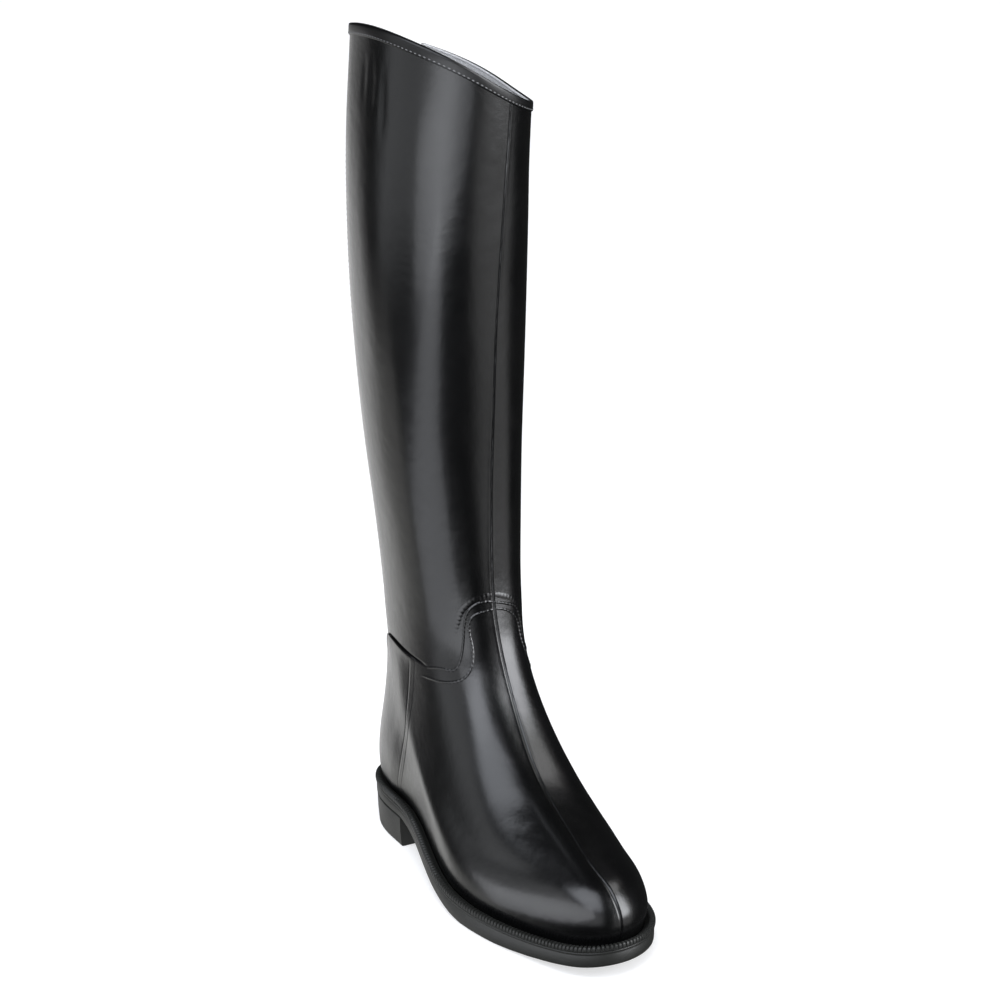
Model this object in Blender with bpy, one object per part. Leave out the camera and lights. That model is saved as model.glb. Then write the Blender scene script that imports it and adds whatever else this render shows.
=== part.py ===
import math

import bmesh
import bpy
import numpy as np

# Tall rubber riding boot for the right foot, standing empty on its heel and forefoot.
# Table lengths are millimetres. "along" runs from the back of the heel to the toe,
# "out" runs to the wearer's right, which is the outer side of this boot.
MM = 0.001
ALONG_MID = 131.826
OUT_MID = 5.306

# Wall and overlay sizes
WALL = 2.2
GAP = 0.3
SKIRT = 3.0
BINDING_HEIGHT = 5.6
BINDING_THICK = 0.9
ELASTIC_THICK = 1.5
ELASTIC_MARGIN = 7.0
COUNTER_THICK = 1.2
STAY_THICK = 0.8

# Sole sizes
WELT_GROW = 6.3
WELT_DROP = 0.4
OUTSOLE_GROW = 5.6
HEEL_GROW = 5.3
HEEL_TAPER = 1.3
HEEL_BREAST = 59.5
HEEL_HEIGHT = 20.0
EDGE_ROUND = 1.0
INSOLE_INSET = 2.9
INSOLE_THICK = 3.0
GROOVE_WIDTH = 3.0
GROOVE_DEPTH = 1.3
GROOVE_MARGIN = 9.0

# Grid of the upper
COLUMNS = 60
COLUMN_PULL = 0.03
FOOT_ROWS = (0, 0.07, 0.16, 0.27, 0.38, 0.5, 0.62, 0.73, 0.83, 0.92, 1.0)
LEG_ROWS = (1.08, 1.17, 1.27, 1.37, 1.47, 1.57, 1.67, 1.77, 1.86, 1.93, 2.0)

# Line where the upper meets the sole, from the back round the outer side to the toe and home
OUTLINE_COLUMNS = ("along", "out")
OUTLINE = (
    (5.8, 0.0),
    (12.5, 21.8),
    (32.7, 30.6),
    (63.5, 32.0),
    (101.0, 38.5),
    (144.0, 46.5),
    (182.5, 44.0),
    (213.5, 35.5),
    (240.5, 26.0),
    (255.5, 16.5),
    (259.6, 2.3),
    (253.8, -14.0),
    (236.5, -29.5),
    (206.7, -38.7),
    (178.0, -40.0),
    (144.0, -31.5),
    (101.0, -25.8),
    (63.5, -25.6),
    (32.7, -26.2),
    (12.5, -19.0),
)
TOE_ROW = 10

# Height of that line, and of the underside of the sole with its arch and toe spring
TOP_COLUMNS = ("along", "height")
TOP = (
    (-10.0, 31.2),
    (38.5, 31.2),
    (72.0, 29.2),
    (106.0, 23.1),
    (144.0, 16.1),
    (183.0, 14.4),
    (216.0, 14.9),
    (245.0, 17.9),
    (274.0, 22.9),
)
UNDERSIDE_COLUMNS = ("along", "height")
UNDERSIDE = (
    (-10.0, 20.0),
    (59.5, 20.0),
    (64.0, 19.4),
    (85.0, 15.6),
    (105.0, 11.0),
    (125.0, 6.6),
    (143.0, 3.2),
    (154.0, 1.1),
    (164.0, 0.0),
    (196.0, 0.0),
    (208.0, 0.6),
    (222.0, 1.9),
    (239.0, 4.1),
    (256.0, 7.0),
    (274.0, 10.5),
)

# Sections of the leg: back and front ends, half width, sideways centre, fullness of the corners
LEG_COLUMNS = ("height", "back", "front", "half", "centre", "full")
LEG = (
    (30.0, 0.0, 120.0, 32.0, 1.0, 0.060),
    (55.0, -1.0, 118.5, 32.0, 0.5, 0.065),
    (80.0, 1.5, 117.5, 31.8, 0.0, 0.070),
    (110.0, 4.0, 116.5, 32.0, 0.0, 0.070),
    (135.0, 5.0, 115.2, 33.0, -0.2, 0.068),
    (160.0, 5.0, 112.2, 34.3, -0.2, 0.065),
    (180.0, 4.8, 109.8, 35.6, 0.4, 0.062),
    (200.0, 4.5, 108.8, 37.1, 1.2, 0.060),
    (250.0, 4.0, 108.8, 41.2, 4.0, 0.055),
    (300.0, 4.5, 111.8, 44.9, 6.5, 0.050),
    (350.0, 5.5, 115.0, 47.6, 8.6, 0.046),
    (400.0, 4.0, 117.8, 48.3, 9.0, 0.046),
    (440.0, 1.3, 119.2, 47.6, 7.9, 0.046),
    (500.0, -0.6, 120.2, 46.3, 4.5, 0.046),
    (520.0, -0.8, 120.4, 46.0, 4.0, 0.046),
)
ANKLE = 160.0

# Collar height round the leg: mean, then higher at the back and on the outer side
COLLAR = {"mean": 481.2, "back": 5.1, "outer": 20.5, "back_twice": -0.1, "outer_twice": -3.0}

# Guide lines from the sole line to the ankle at equal steps, for five places round the foot
GUIDE_COLUMNS = ("inward", "upward")
GUIDES = {
    "heel": (
        (0.0, 0.0),
        (0.067, 0.104),
        (0.16, 0.222),
        (0.287, 0.36),
        (0.44, 0.515),
        (0.62, 0.69),
        (0.81, 0.86),
        (1.0, 1.0),
    ),
    "quarter": (
        (0.0, 0.0),
        (-0.014, 0.104),
        (0.012, 0.222),
        (0.105, 0.36),
        (0.245, 0.515),
        (0.44, 0.69),
        (0.69, 0.86),
        (1.0, 1.0),
    ),
    "waist": (
        (0.0, 0.0),
        (-0.005, 0.084),
        (0.023, 0.175),
        (0.118, 0.286),
        (0.26, 0.42),
        (0.45, 0.59),
        (0.71, 0.79),
        (1.0, 1.0),
    ),
    "ball": (
        (0.0, 0.0),
        (-0.005, 0.07),
        (0.018, 0.152),
        (0.06, 0.21),
        (0.118, 0.295),
        (0.30, 0.50),
        (0.59, 0.77),
        (1.0, 1.0),
    ),
    "toe": (
        (0.0, 0.0),
        (-0.004, 0.10),
        (0.02, 0.195),
        (0.06, 0.25),
        (0.15, 0.325),
        (0.33, 0.47),
        (0.60, 0.73),
        (1.0, 1.0),
    ),
}
GUIDE_PLACES = ("heel", "quarter", "waist", "ball", "toe")

# Bulge of the foot past the sole line, round from the back
SWELL_COLUMNS = ("round", "bulge")
SWELL = (
    (0.0, 4.5),
    (0.125, 5.5),
    (0.25, 1.5),
    (0.375, 0.5),
    (0.5, 0.5),
    (0.625, 0.5),
    (0.75, 1.0),
    (0.875, 3.5),
    (1.0, 4.5),
)

# Cut-out for the elastic in the back of the leg
CUT_COLUMNS = ("rise", "centre", "half")
CUT = (
    (1.430, 0.045, 0.018),
    (1.438, 0.045, 0.045),
    (1.452, 0.045, 0.064),
    (1.475, 0.045, 0.079),
    (1.510, 0.044, 0.088),
    (1.570, 0.044, 0.091),
    (1.670, 0.044, 0.091),
    (1.770, 0.044, 0.091),
    (1.860, 0.041, 0.090),
    (1.930, 0.036, 0.089),
    (2.000, 0.030, 0.088),
)
CUT_SPANS = 8

# Heel counter: side edge and top edge
COUNTER_SIDE_COLUMNS = ("rise", "round")
COUNTER_SIDE = ((0.0, 0.115), (0.17, 0.127), (0.42, 0.165), (0.55, 0.205), (0.75, 0.262), (0.9, 0.29))
COUNTER_TOP_COLUMNS = ("share", "height")
COUNTER_TOP = ((0.0, 118.5), (0.3, 118.5), (0.55, 120.0), (0.8, 124.5), (1.0, 127.5))
COUNTER_FOOT = 0.02
COUNTER_SPANS = 26
COUNTER_ROWS = 10

# Back strip between the counter and the elastic
STAY_COLUMNS = ("rise", "centre", "half")
STAY = (
    (0.79, 0.003, 0.036),
    (0.86, 0.004, 0.036),
    (0.93, 0.006, 0.036),
    (1.0, 0.007, 0.036),
    (1.08, 0.007, 0.0355),
    (1.17, 0.007, 0.0345),
    (1.27, 0.006, 0.032),
    (1.37, 0.005, 0.0295),
    (1.42, 0.004, 0.028),
)
STAY_SPANS = 3

# Spur rest on the counter, from its point up to its flat ledge
REST_COLUMNS = ("height", "half", "stand")
REST = (
    (93.5, 0.9, 1.0),
    (97.5, 3.6, 1.7),
    (103.0, 6.0, 2.6),
    (107.0, 6.5, 3.4),
    (110.5, 6.5, 4.2),
)
REST_SPANS = 4

COLOURS = {
    "upper": ((0.012, 0.012, 0.013), 0.22),
    "gusset": ((0.018, 0.018, 0.019), 0.85),
    "binding": ((0.011, 0.011, 0.012), 0.35),
    "counter": ((0.012, 0.012, 0.013), 0.24),
    "backstay": ((0.012, 0.012, 0.013), 0.26),
    "spur_rest": ((0.012, 0.012, 0.013), 0.26),
    "welt": ((0.020, 0.021, 0.020), 0.45),
    "outsole": ((0.022, 0.023, 0.022), 0.5),
    "heel": ((0.022, 0.023, 0.022), 0.5),
    "insole": ((0.30, 0.30, 0.31), 0.9),
}


def column(table, names, name):
    return np.array([row[names.index(name)] for row in table], dtype=float)


def bends(knots, values, closed):
    count = len(knots)
    steps = np.diff(knots)
    matrix = np.zeros((count, count))
    right = np.zeros((count,) + values.shape[1:])
    for i in range(1, count - 1):
        matrix[i, i - 1] = steps[i - 1]
        matrix[i, i] = 2 * (steps[i - 1] + steps[i])
        matrix[i, i + 1] = steps[i]
        right[i] = 6 * ((values[i + 1] - values[i]) / steps[i] - (values[i] - values[i - 1]) / steps[i - 1])
    matrix[0, 0] = 1
    matrix[-1, -1] = 1
    if closed:
        matrix[0, -1] = -1
        matrix[-1, 0] = 2 * steps[0]
        matrix[-1, 1] = steps[0]
        matrix[-1, -2] = steps[-1]
        matrix[-1, -1] = 2 * steps[-1]
        right[-1] = 6 * ((values[1] - values[0]) / steps[0] - (values[-1] - values[-2]) / steps[-1])
    return np.linalg.solve(matrix, right.reshape(count, -1)).reshape(right.shape)


def smooth(knots, values, at, closed=False):
    knots = np.asarray(knots, dtype=float)
    values = np.asarray(values, dtype=float)
    at = np.asarray(at, dtype=float)
    bend = bends(knots, values, closed)
    i = np.clip(np.searchsorted(knots, at, side="right") - 1, 0, len(knots) - 2)
    step = knots[i + 1] - knots[i]
    a = (knots[i + 1] - at) / step
    b = (at - knots[i]) / step
    if values.ndim > 1:
        a = a[..., None]
        b = b[..., None]
        step = step[..., None]
    curve = ((a**3 - a) * bend[i] + (b**3 - b) * bend[i + 1]) * step**2 / 6
    return a * values[i] + b * values[i + 1] + curve


def outline_line():
    corners = np.array(OUTLINE + OUTLINE[:1], dtype=float)
    lengths = np.linalg.norm(np.diff(corners, axis=0), axis=1)
    chord = np.concatenate([[0.0], np.cumsum(lengths)])
    fine = np.linspace(0, chord[-1], 1601)
    line = smooth(chord, corners, fine, closed=True)
    run = np.concatenate([[0.0], np.cumsum(np.linalg.norm(np.diff(line, axis=0), axis=1))])
    toe = np.interp(chord[TOE_ROW], fine, run)
    share = np.where(run < toe, 0.5 * run / toe, 0.5 + 0.5 * (run - toe) / (run[-1] - toe))
    tangent = np.gradient(line, axis=0)
    tangent[0] = line[1] - line[-2]
    tangent[-1] = tangent[0]
    tangent /= np.linalg.norm(tangent, axis=1)[:, None]
    outward = np.stack([-tangent[:, 1], tangent[:, 0]], axis=1)
    return share, line, outward


ROUND, LINE, OUTWARD = outline_line()


def rim(u, grow=0.0):
    u = np.mod(u, 1.0)
    grown = LINE + grow * OUTWARD
    return np.stack([np.interp(u, ROUND, grown[:, 0]), np.interp(u, ROUND, grown[:, 1])], axis=-1)


def sole_top(along):
    return smooth(column(TOP, TOP_COLUMNS, "along"), column(TOP, TOP_COLUMNS, "height"), along)


def sole_under(along):
    table = (column(UNDERSIDE, UNDERSIDE_COLUMNS, "along"), column(UNDERSIDE, UNDERSIDE_COLUMNS, "height"))
    return np.interp(along, *table)


def collar_height(u):
    turn = 2 * math.pi * u
    once = COLLAR["back"] * np.cos(turn) + COLLAR["outer"] * np.sin(turn)
    twice = COLLAR["back_twice"] * np.cos(2 * turn) + COLLAR["outer_twice"] * np.sin(2 * turn)
    return COLLAR["mean"] + once + twice


def leg_section(u, z):
    heights = column(LEG, LEG_COLUMNS, "height")
    size = {n: smooth(heights, column(LEG, LEG_COLUMNS, n), z) for n in LEG_COLUMNS[1:]}
    turn = 2 * math.pi * u
    corner = 1 + size["full"] * np.sin(2 * turn) ** 2
    along = (size["back"] + size["front"]) / 2 - (size["front"] - size["back"]) / 2 * np.cos(turn) * corner
    return along, size["centre"] + size["half"] * np.sin(turn) * corner


def guide_shares(u, w):
    places = [GUIDES[n] for n in GUIDE_PLACES] + [GUIDES[n] for n in GUIDE_PLACES[-2::-1]]
    rounds = np.linspace(0, 1, len(places))
    steps = np.linspace(0, 1, len(places[0]))
    values = np.array([smooth(steps, np.array(p, dtype=float), w) for p in places])
    bend = bends(rounds, values, True)
    i = np.clip(np.searchsorted(rounds, u, side="right") - 1, 0, len(rounds) - 2)
    n = np.arange(len(u))
    step = rounds[1]
    a = ((rounds[i + 1] - u) / step)[:, None]
    b = ((u - rounds[i]) / step)[:, None]
    curve = ((a**3 - a) * bend[i, n] + (b**3 - b) * bend[i + 1, n]) * step**2 / 6
    shares = a * values[i, n] + b * values[i + 1, n] + curve
    return 1 - (1 - shares[:, 0]) ** 3, shares[:, 1]


# Outer face of the upper: u runs round from the back, v is 0 at the sole line, 1 at the ankle
# and 2 at the collar; below 0 it is the short skirt that stands inside the welt.
def surface(u, v):
    u, v = np.broadcast_arrays(np.asarray(u, dtype=float), np.asarray(v, dtype=float))
    shape = u.shape
    u = np.mod(u.ravel(), 1.0)
    v = v.ravel()
    inward, upward = guide_shares(u, np.clip(v, 0, 1))
    foot = rim(u)
    foot_z = sole_top(foot[:, 0])
    bulge = smooth(column(SWELL, SWELL_COLUMNS, "round"), column(SWELL, SWELL_COLUMNS, "bulge"), u, True)
    bulge = bulge * np.sin(math.pi * np.clip(upward, 0, 1) ** 0.6)
    foot = foot + bulge[:, None] * (rim(u, 1.0) - rim(u))
    z = foot_z + (ANKLE - foot_z) * upward
    z = np.where(v > 1, ANKLE + (collar_height(u) - ANKLE) * (v - 1), z)
    z = np.where(v < 0, foot_z + 10 * SKIRT * v, z)
    inward = np.where(v > 1, 1.0, inward)
    along, out = leg_section(u, z)
    along = foot[:, 0] * (1 - inward) + along * inward
    out = foot[:, 1] * (1 - inward) + out * inward
    return np.stack([along, out, z], axis=-1).reshape(shape + (3,))


def facing(u, v):
    u, v = np.broadcast_arrays(np.asarray(u, dtype=float), np.asarray(v, dtype=float))
    across = surface(u + 0.003, v) - surface(u - 0.003, v)
    low = np.where(v > 0, np.maximum(v - 0.006, 0), v)
    rise = surface(u, v + 0.006) - surface(u, low)
    normal = np.cross(rise, across)
    normal[..., 2] = np.where((v <= 0) | (v >= 2), 0, normal[..., 2])
    return normal / np.linalg.norm(normal, axis=-1)[..., None]


def wall(u, v, lift):
    lift = np.broadcast_to(np.asarray(lift, dtype=float), np.broadcast(u, v).shape)
    return surface(u, v) + facing(u, v) * lift[..., None]


def rise_at(u, height):
    low = np.zeros(np.shape(u))
    high = np.full(np.shape(u), 1.0)
    for _ in range(30):
        middle = (low + high) / 2
        under = surface(u, middle)[..., 2] < height
        low = np.where(under, middle, low)
        high = np.where(under, high, middle)
    return (low + high) / 2


def placed(points):
    return np.stack([OUT_MID - points[..., 1], ALONG_MID - points[..., 0], points[..., 2]], axis=-1) * MM


def add_solid(name, points, faces, home):
    mesh = bpy.data.meshes.new(name)
    mesh.from_pydata([tuple(p) for p in placed(points).tolist()], [], faces)
    edit = bmesh.new()
    edit.from_mesh(mesh)
    bmesh.ops.recalc_face_normals(edit, faces=edit.faces)
    edit.to_mesh(mesh)
    edit.free()
    item = bpy.data.objects.new(name, mesh)
    home.objects.link(item)
    if name in COLOURS:
        paint = bpy.data.materials.new(name)
        paint.use_nodes = True
        shader = paint.node_tree.nodes["Principled BSDF"]
        colour, rough = COLOURS[name]
        shader.inputs["Base Color"].default_value = colour + (1.0,)
        shader.inputs["Roughness"].default_value = rough
        mesh.materials.append(paint)
    return item


# Closed piece between two lifts of the outer face, over a grid of places
def shell(name, u, v, low, high, home, ring=False):
    rows, columns = u.shape
    points = np.concatenate([wall(u, v, high).reshape(-1, 3), wall(u, v, low).reshape(-1, 3)])
    index = np.arange(rows * columns).reshape(rows, columns)
    far = rows * columns
    spans = columns if ring else columns - 1
    faces = []
    for j in range(spans):
        k = (j + 1) % columns
        for i in range(rows - 1):
            a = int(index[i, j])
            b = int(index[i, k])
            c = int(index[i + 1, k])
            d = int(index[i + 1, j])
            for corners in ((a, b, c), (a, c, d)):
                faces.append(list(corners))
                faces.append([n + far for n in reversed(corners)])
        for i in (0, rows - 1):
            a = int(index[i, j])
            b = int(index[i, k])
            faces.append([a, b, b + far, a + far])
    if not ring:
        for i in range(rows - 1):
            for j in (0, columns - 1):
                a = int(index[i, j])
                b = int(index[i + 1, j])
                faces.append([a, b, b + far, a + far])
    return add_solid(name, points, faces, home)


# Closed piece through a row of like sections, as a ring or with flat ends
def loft(name, sections, home, ring=False):
    count, corners, _ = sections.shape
    points = sections.reshape(-1, 3)
    faces = []
    for i in range(count if ring else count - 1):
        k = (i + 1) % count
        for j in range(corners):
            m = (j + 1) % corners
            faces.append([i * corners + j, i * corners + m, k * corners + m, k * corners + j])
    if not ring:
        faces.append(list(range(corners)))
        faces.append([(count - 1) * corners + j for j in range(corners)])
    return add_solid(name, points, faces, home)


def half_widths(along, grow):
    outer = rim(np.linspace(0, 0.5, 801), grow)
    inner = rim(np.linspace(1, 0.5, 801), grow)
    return np.interp(along, outer[:, 0], outer[:, 1]), np.interp(along, inner[:, 0], inner[:, 1])


def stations(start, end, count, blunt_end):
    edge = 0.055
    stop = math.pi - edge if blunt_end else math.pi / 2
    turn = np.linspace(edge, stop, count)
    middle = (start + end) / 2 if blunt_end else end
    return middle - (middle - start) * np.cos(turn)


# Flat-topped piece of sole: side edges follow the outline, faces follow two heights
def slab(name, along, top, bottom, grow_top, grow_low, edge, home):
    left, right = half_widths(along, grow_top)
    left_low, right_low = half_widths(along, grow_low)
    inset = np.minimum(edge, 0.15 * (left_low - right_low))
    corners = (
        (left, top),
        (left_low, bottom + edge),
        (left_low - inset, bottom),
        (right_low + inset, bottom),
        (right_low, bottom + edge),
        (right, top),
    )
    sections = np.stack([np.stack([along, out, z], axis=-1) for out, z in corners], axis=1)
    return loft(name, sections, home)


def cut(item, tool, keep_inside=False):
    tool.hide_render = True
    tool.display_type = "WIRE"
    change = item.modifiers.new("cut " + tool.name, "BOOLEAN")
    change.operation = "INTERSECT" if keep_inside else "DIFFERENCE"
    change.solver = "EXACT"
    change.object = tool


def own_columns():
    turn = np.arange(COLUMNS) / COLUMNS
    return turn - COLUMN_PULL * np.sin(4 * math.pi * turn)


# Part of the upper's own grid round the back of the boot
def back_grid(reach, low, high):
    columns = own_columns()
    columns = np.sort(np.where(columns > 0.5, columns - 1, columns))
    rows = np.array(FOOT_ROWS + LEG_ROWS)
    columns = columns[np.abs(columns) < reach]
    rows = rows[(rows > low) & (rows < high)]
    return np.meshgrid(columns, rows)


def grooves(name, places, under, grow, home):
    points = []
    faces = []
    for place in places:
        left, right = half_widths(np.array([place]), grow)
        low = float(under(place))
        base = len(points)
        for dx in (-GROOVE_WIDTH / 2, GROOVE_WIDTH / 2):
            for out in (float(left[0]) - GROOVE_MARGIN, float(right[0]) + GROOVE_MARGIN):
                for z in (low - 6.0, low + GROOVE_DEPTH):
                    points.append((place + dx, out, z))
        sides = ((0, 1, 3, 2), (4, 6, 7, 5), (0, 4, 5, 1), (2, 3, 7, 6), (0, 2, 6, 4), (1, 5, 7, 3))
        for side in sides:
            faces.append([base + c for c in side])
    return add_solid(name, np.array(points), faces, home)


def make_upper(home, tools):
    u, v = np.meshgrid(own_columns(), np.array((-0.1,) + FOOT_ROWS + LEG_ROWS))
    upper = shell("upper", u, v, -WALL, 0.0, home, ring=True)
    rises = np.append(column(CUT, CUT_COLUMNS, "rise"), 2.08)
    centres = np.append(column(CUT, CUT_COLUMNS, "centre"), 0.022)
    halves = np.append(column(CUT, CUT_COLUMNS, "half"), 0.088)
    across = np.linspace(-1, 1, CUT_SPANS + 1)
    u = centres[:, None] + halves[:, None] * across[None, :]
    v = np.repeat(rises[:, None], CUT_SPANS + 1, axis=1)
    cut(upper, shell("elastic opening", u, v, -9.0, 7.0, tools))
    return upper


def make_gusset(home):
    rises = column(CUT, CUT_COLUMNS, "rise")
    centres = column(CUT, CUT_COLUMNS, "centre")
    halves = column(CUT, CUT_COLUMNS, "half")
    leg_width = 2 * math.pi * 45.0
    margin = ELASTIC_MARGIN / leg_width
    edge = 1.2 / leg_width
    rise_margin = ELASTIC_MARGIN / 325.0
    first = rises[0] - rise_margin
    level = np.concatenate([[first, first + 0.006, first + 0.016], rises[4:-1]])
    centre = np.interp(level, rises, centres)
    half = np.interp(level, rises, halves)
    half[:3] = (0.062, 0.080, 0.092)
    under_band = 2.0 - (BINDING_HEIGHT + 1.5) / 325.0
    top = 2.0 - 0.6 / 325.0
    inside = np.linspace(-1, 1, 9)
    u = []
    v = []
    for i in range(len(level)):
        row = [-half[i] - margin, -half[i] - edge] + list(inside * (half[i] - edge))
        row = row + [half[i] + edge, half[i] + margin]
        u.append(centre[i] + np.array(row))
        v.append(np.full(len(row), level[i]))
    for low, high in ((under_band, under_band), (under_band + 0.003, top)):
        centre_top = np.interp(high, rises, centres)
        half_top = np.interp(high, rises, halves)
        row = [-half_top - margin, -half_top - edge] + list(inside * (half_top - edge))
        row = row + [half_top + edge, half_top + margin]
        u.append(centre_top + np.array(row))
        ends = [low, low]
        v.append(np.array(ends + [high] * len(inside) + ends))
    outer = -WALL - GAP
    return shell("gusset", np.array(u), np.array(v), outer - ELASTIC_THICK, outer, home)


def make_binding(home):
    rises = column(CUT, CUT_COLUMNS, "rise")
    centre = column(CUT, CUT_COLUMNS, "centre")[-1]
    half = column(CUT, CUT_COLUMNS, "half")[-1] + 0.006
    turn = np.linspace(centre + half, centre + 1 - half, 53)
    drop = BINDING_HEIGHT / 325.0
    gap = GAP / 325.0
    thick = BINDING_THICK / 325.0
    low = rises[-1] - drop
    outer = GAP
    inner = -WALL - GAP
    corners = (
        (low, outer),
        (2.0 + gap, outer),
        (2.0 + gap, inner),
        (low, inner),
        (low, inner - BINDING_THICK),
        (2.0 + gap + thick, inner - BINDING_THICK),
        (2.0 + gap + thick, outer + BINDING_THICK),
        (low, outer + BINDING_THICK),
    )
    sections = np.stack([wall(turn, np.full(turn.shape, v), lift) for v, lift in corners], axis=1)
    return loft("binding", sections, home)


def make_counter(home, tools):
    across = np.linspace(-1, 1, COUNTER_SPANS + 1)
    side_rise = column(COUNTER_SIDE, COUNTER_SIDE_COLUMNS, "rise")
    side_round = column(COUNTER_SIDE, COUNTER_SIDE_COLUMNS, "round")
    top_share = column(COUNTER_TOP, COUNTER_TOP_COLUMNS, "share")
    top_height = column(COUNTER_TOP, COUNTER_TOP_COLUMNS, "height")
    height = smooth(top_share, top_height, np.abs(across))
    top = rise_at(across * np.interp(0.85, side_rise, side_round), height)
    levels = np.linspace(0, 1, COUNTER_ROWS + 1) ** 0.9
    v = COUNTER_FOOT + (top[None, :] - COUNTER_FOOT) * levels[:, None]
    u = across[None, :] * smooth(side_rise, side_round, v)
    own_u, own_v = back_grid(0.36, -0.01, 0.99)
    counter = shell("counter", own_u, own_v, GAP, GAP + COUNTER_THICK, home)
    cut(counter, shell("counter outline", u, v, -3.0, 6.0, tools), keep_inside=True)
    return counter


def make_backstay(home, tools):
    across = np.linspace(-1, 1, STAY_SPANS + 1)
    rises = column(STAY, STAY_COLUMNS, "rise")
    u = column(STAY, STAY_COLUMNS, "centre")[:, None] + column(STAY, STAY_COLUMNS, "half")[:, None] * across
    v = np.repeat(rises[:, None], STAY_SPANS + 1, axis=1)
    own_u, own_v = back_grid(0.09, 0.7, 1.5)
    stay = shell("backstay", own_u, own_v, GAP, GAP + STAY_THICK, home)
    cut(stay, shell("backstay outline", u, v, -3.0, 6.0, tools), keep_inside=True)
    return stay


def make_spur_rest(home):
    across = np.linspace(-1, 1, REST_SPANS + 1)
    halves = column(REST, REST_COLUMNS, "half") / 250.0
    u = halves[:, None] * across[None, :]
    height = np.repeat(column(REST, REST_COLUMNS, "height")[:, None], REST_SPANS + 1, axis=1)
    base = 2 * GAP + COUNTER_THICK + 0.15
    stand = np.repeat(column(REST, REST_COLUMNS, "stand")[:, None], REST_SPANS + 1, axis=1)
    return shell("spur_rest", u, rise_at(u, height), base, base + stand, home)


def make_welt(home):
    turn = np.arange(2 * COLUMNS) / (2 * COLUMNS)
    turn = turn - COLUMN_PULL * np.sin(4 * math.pi * turn)
    corners = ((GAP, -SKIRT), (WELT_GROW, -SKIRT), (WELT_GROW, -WELT_DROP), (GAP, -WELT_DROP - 0.2))
    sections = []
    for grow, lift in corners:
        place = rim(turn, grow)
        sections.append(np.concatenate([place, (sole_top(place[:, 0]) + lift)[:, None]], axis=1))
    return loft("welt", np.stack(sections, axis=1), home, ring=True)


def make_outsole(home, tools):
    back = rim(np.array(0.0), OUTSOLE_GROW)[0]
    toe = np.max(rim(np.linspace(0.4, 0.6, 401), OUTSOLE_GROW)[:, 0])
    along = np.append(stations(back, toe, 46, True), (HEEL_BREAST, 64.0, 164.0, 180.0, 196.0))
    along = np.sort(along)
    top = sole_top(along) - SKIRT - GAP
    outsole = slab("outsole", along, top, sole_under(along), OUTSOLE_GROW, OUTSOLE_GROW, EDGE_ROUND, home)
    places = (150.0, 160.0, 170.0, 180.0, 190.0, 200.0, 210.0, 220.0)
    cut(outsole, grooves("forefoot grooves", places, sole_under, OUTSOLE_GROW, tools))
    return outsole


def make_heel(home, tools):
    back = rim(np.array(0.0), HEEL_GROW - HEEL_TAPER)[0]
    along = stations(back, HEEL_BREAST, 16, False)
    top = np.full(along.shape, HEEL_HEIGHT - GAP)
    low = np.zeros(along.shape)
    heel = slab("heel", along, top, low, HEEL_GROW, HEEL_GROW - HEEL_TAPER, EDGE_ROUND, home)
    cut(heel, grooves("heel grooves", (20.0, 30.0, 40.0, 50.0), lambda place: 0.0, HEEL_GROW, tools))
    return heel


def make_insole(home):
    back = rim(np.array(0.0), -INSOLE_INSET)[0]
    toe = np.max(rim(np.linspace(0.4, 0.6, 401), -INSOLE_INSET)[:, 0])
    along = stations(back, toe, 34, True)
    low = sole_top(along) - SKIRT
    return slab("insole", along, low + INSOLE_THICK, low, -INSOLE_INSET, -INSOLE_INSET, 0.5, home)


for old in list(bpy.data.objects):
    bpy.data.objects.remove(old, do_unlink=True)

boot = bpy.data.collections.new("rubber riding boot")
bpy.context.scene.collection.children.link(boot)
cutters = bpy.data.collections.new("boot cutters")
bpy.context.scene.collection.children.link(cutters)

make_outsole(boot, cutters)
make_heel(boot, cutters)
make_welt(boot)
make_insole(boot)
make_upper(boot, cutters)
make_gusset(boot)
make_binding(boot)
make_counter(boot, cutters)
make_backstay(boot, cutters)
make_spur_rest(boot)
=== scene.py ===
import math

import bmesh
import bpy
import numpy as np
from mathutils import Matrix, Vector


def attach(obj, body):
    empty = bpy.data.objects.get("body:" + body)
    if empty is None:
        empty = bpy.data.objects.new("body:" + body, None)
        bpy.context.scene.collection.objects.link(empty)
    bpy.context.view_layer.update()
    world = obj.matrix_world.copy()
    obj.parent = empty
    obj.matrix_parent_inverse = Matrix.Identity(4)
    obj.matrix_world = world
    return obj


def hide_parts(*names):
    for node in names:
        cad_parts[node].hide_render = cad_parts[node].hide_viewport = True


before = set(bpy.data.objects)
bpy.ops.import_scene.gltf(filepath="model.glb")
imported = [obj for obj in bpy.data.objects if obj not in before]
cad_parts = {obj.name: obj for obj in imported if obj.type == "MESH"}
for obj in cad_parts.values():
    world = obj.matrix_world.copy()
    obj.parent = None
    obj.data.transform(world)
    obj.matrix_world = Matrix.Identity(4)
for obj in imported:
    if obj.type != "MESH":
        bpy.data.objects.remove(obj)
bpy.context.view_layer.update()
print("frame nodes:", ", ".join(sorted(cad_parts)))

# boot form in millimetres: along = heel to toe, out = wearer's right, height = up
form = {
    "alongMid": 131.826,
    "outMid": 5.306,
    "ankle": 160.0,
    "legRun": 325.0,  # ankle to collar
    "legRound": 345.0,  # round the leg
    "ankleRound": 250.0,
    "footRound": 240.0,
    "skirt": 3.0,
    "wall": 2.2,
}

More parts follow.
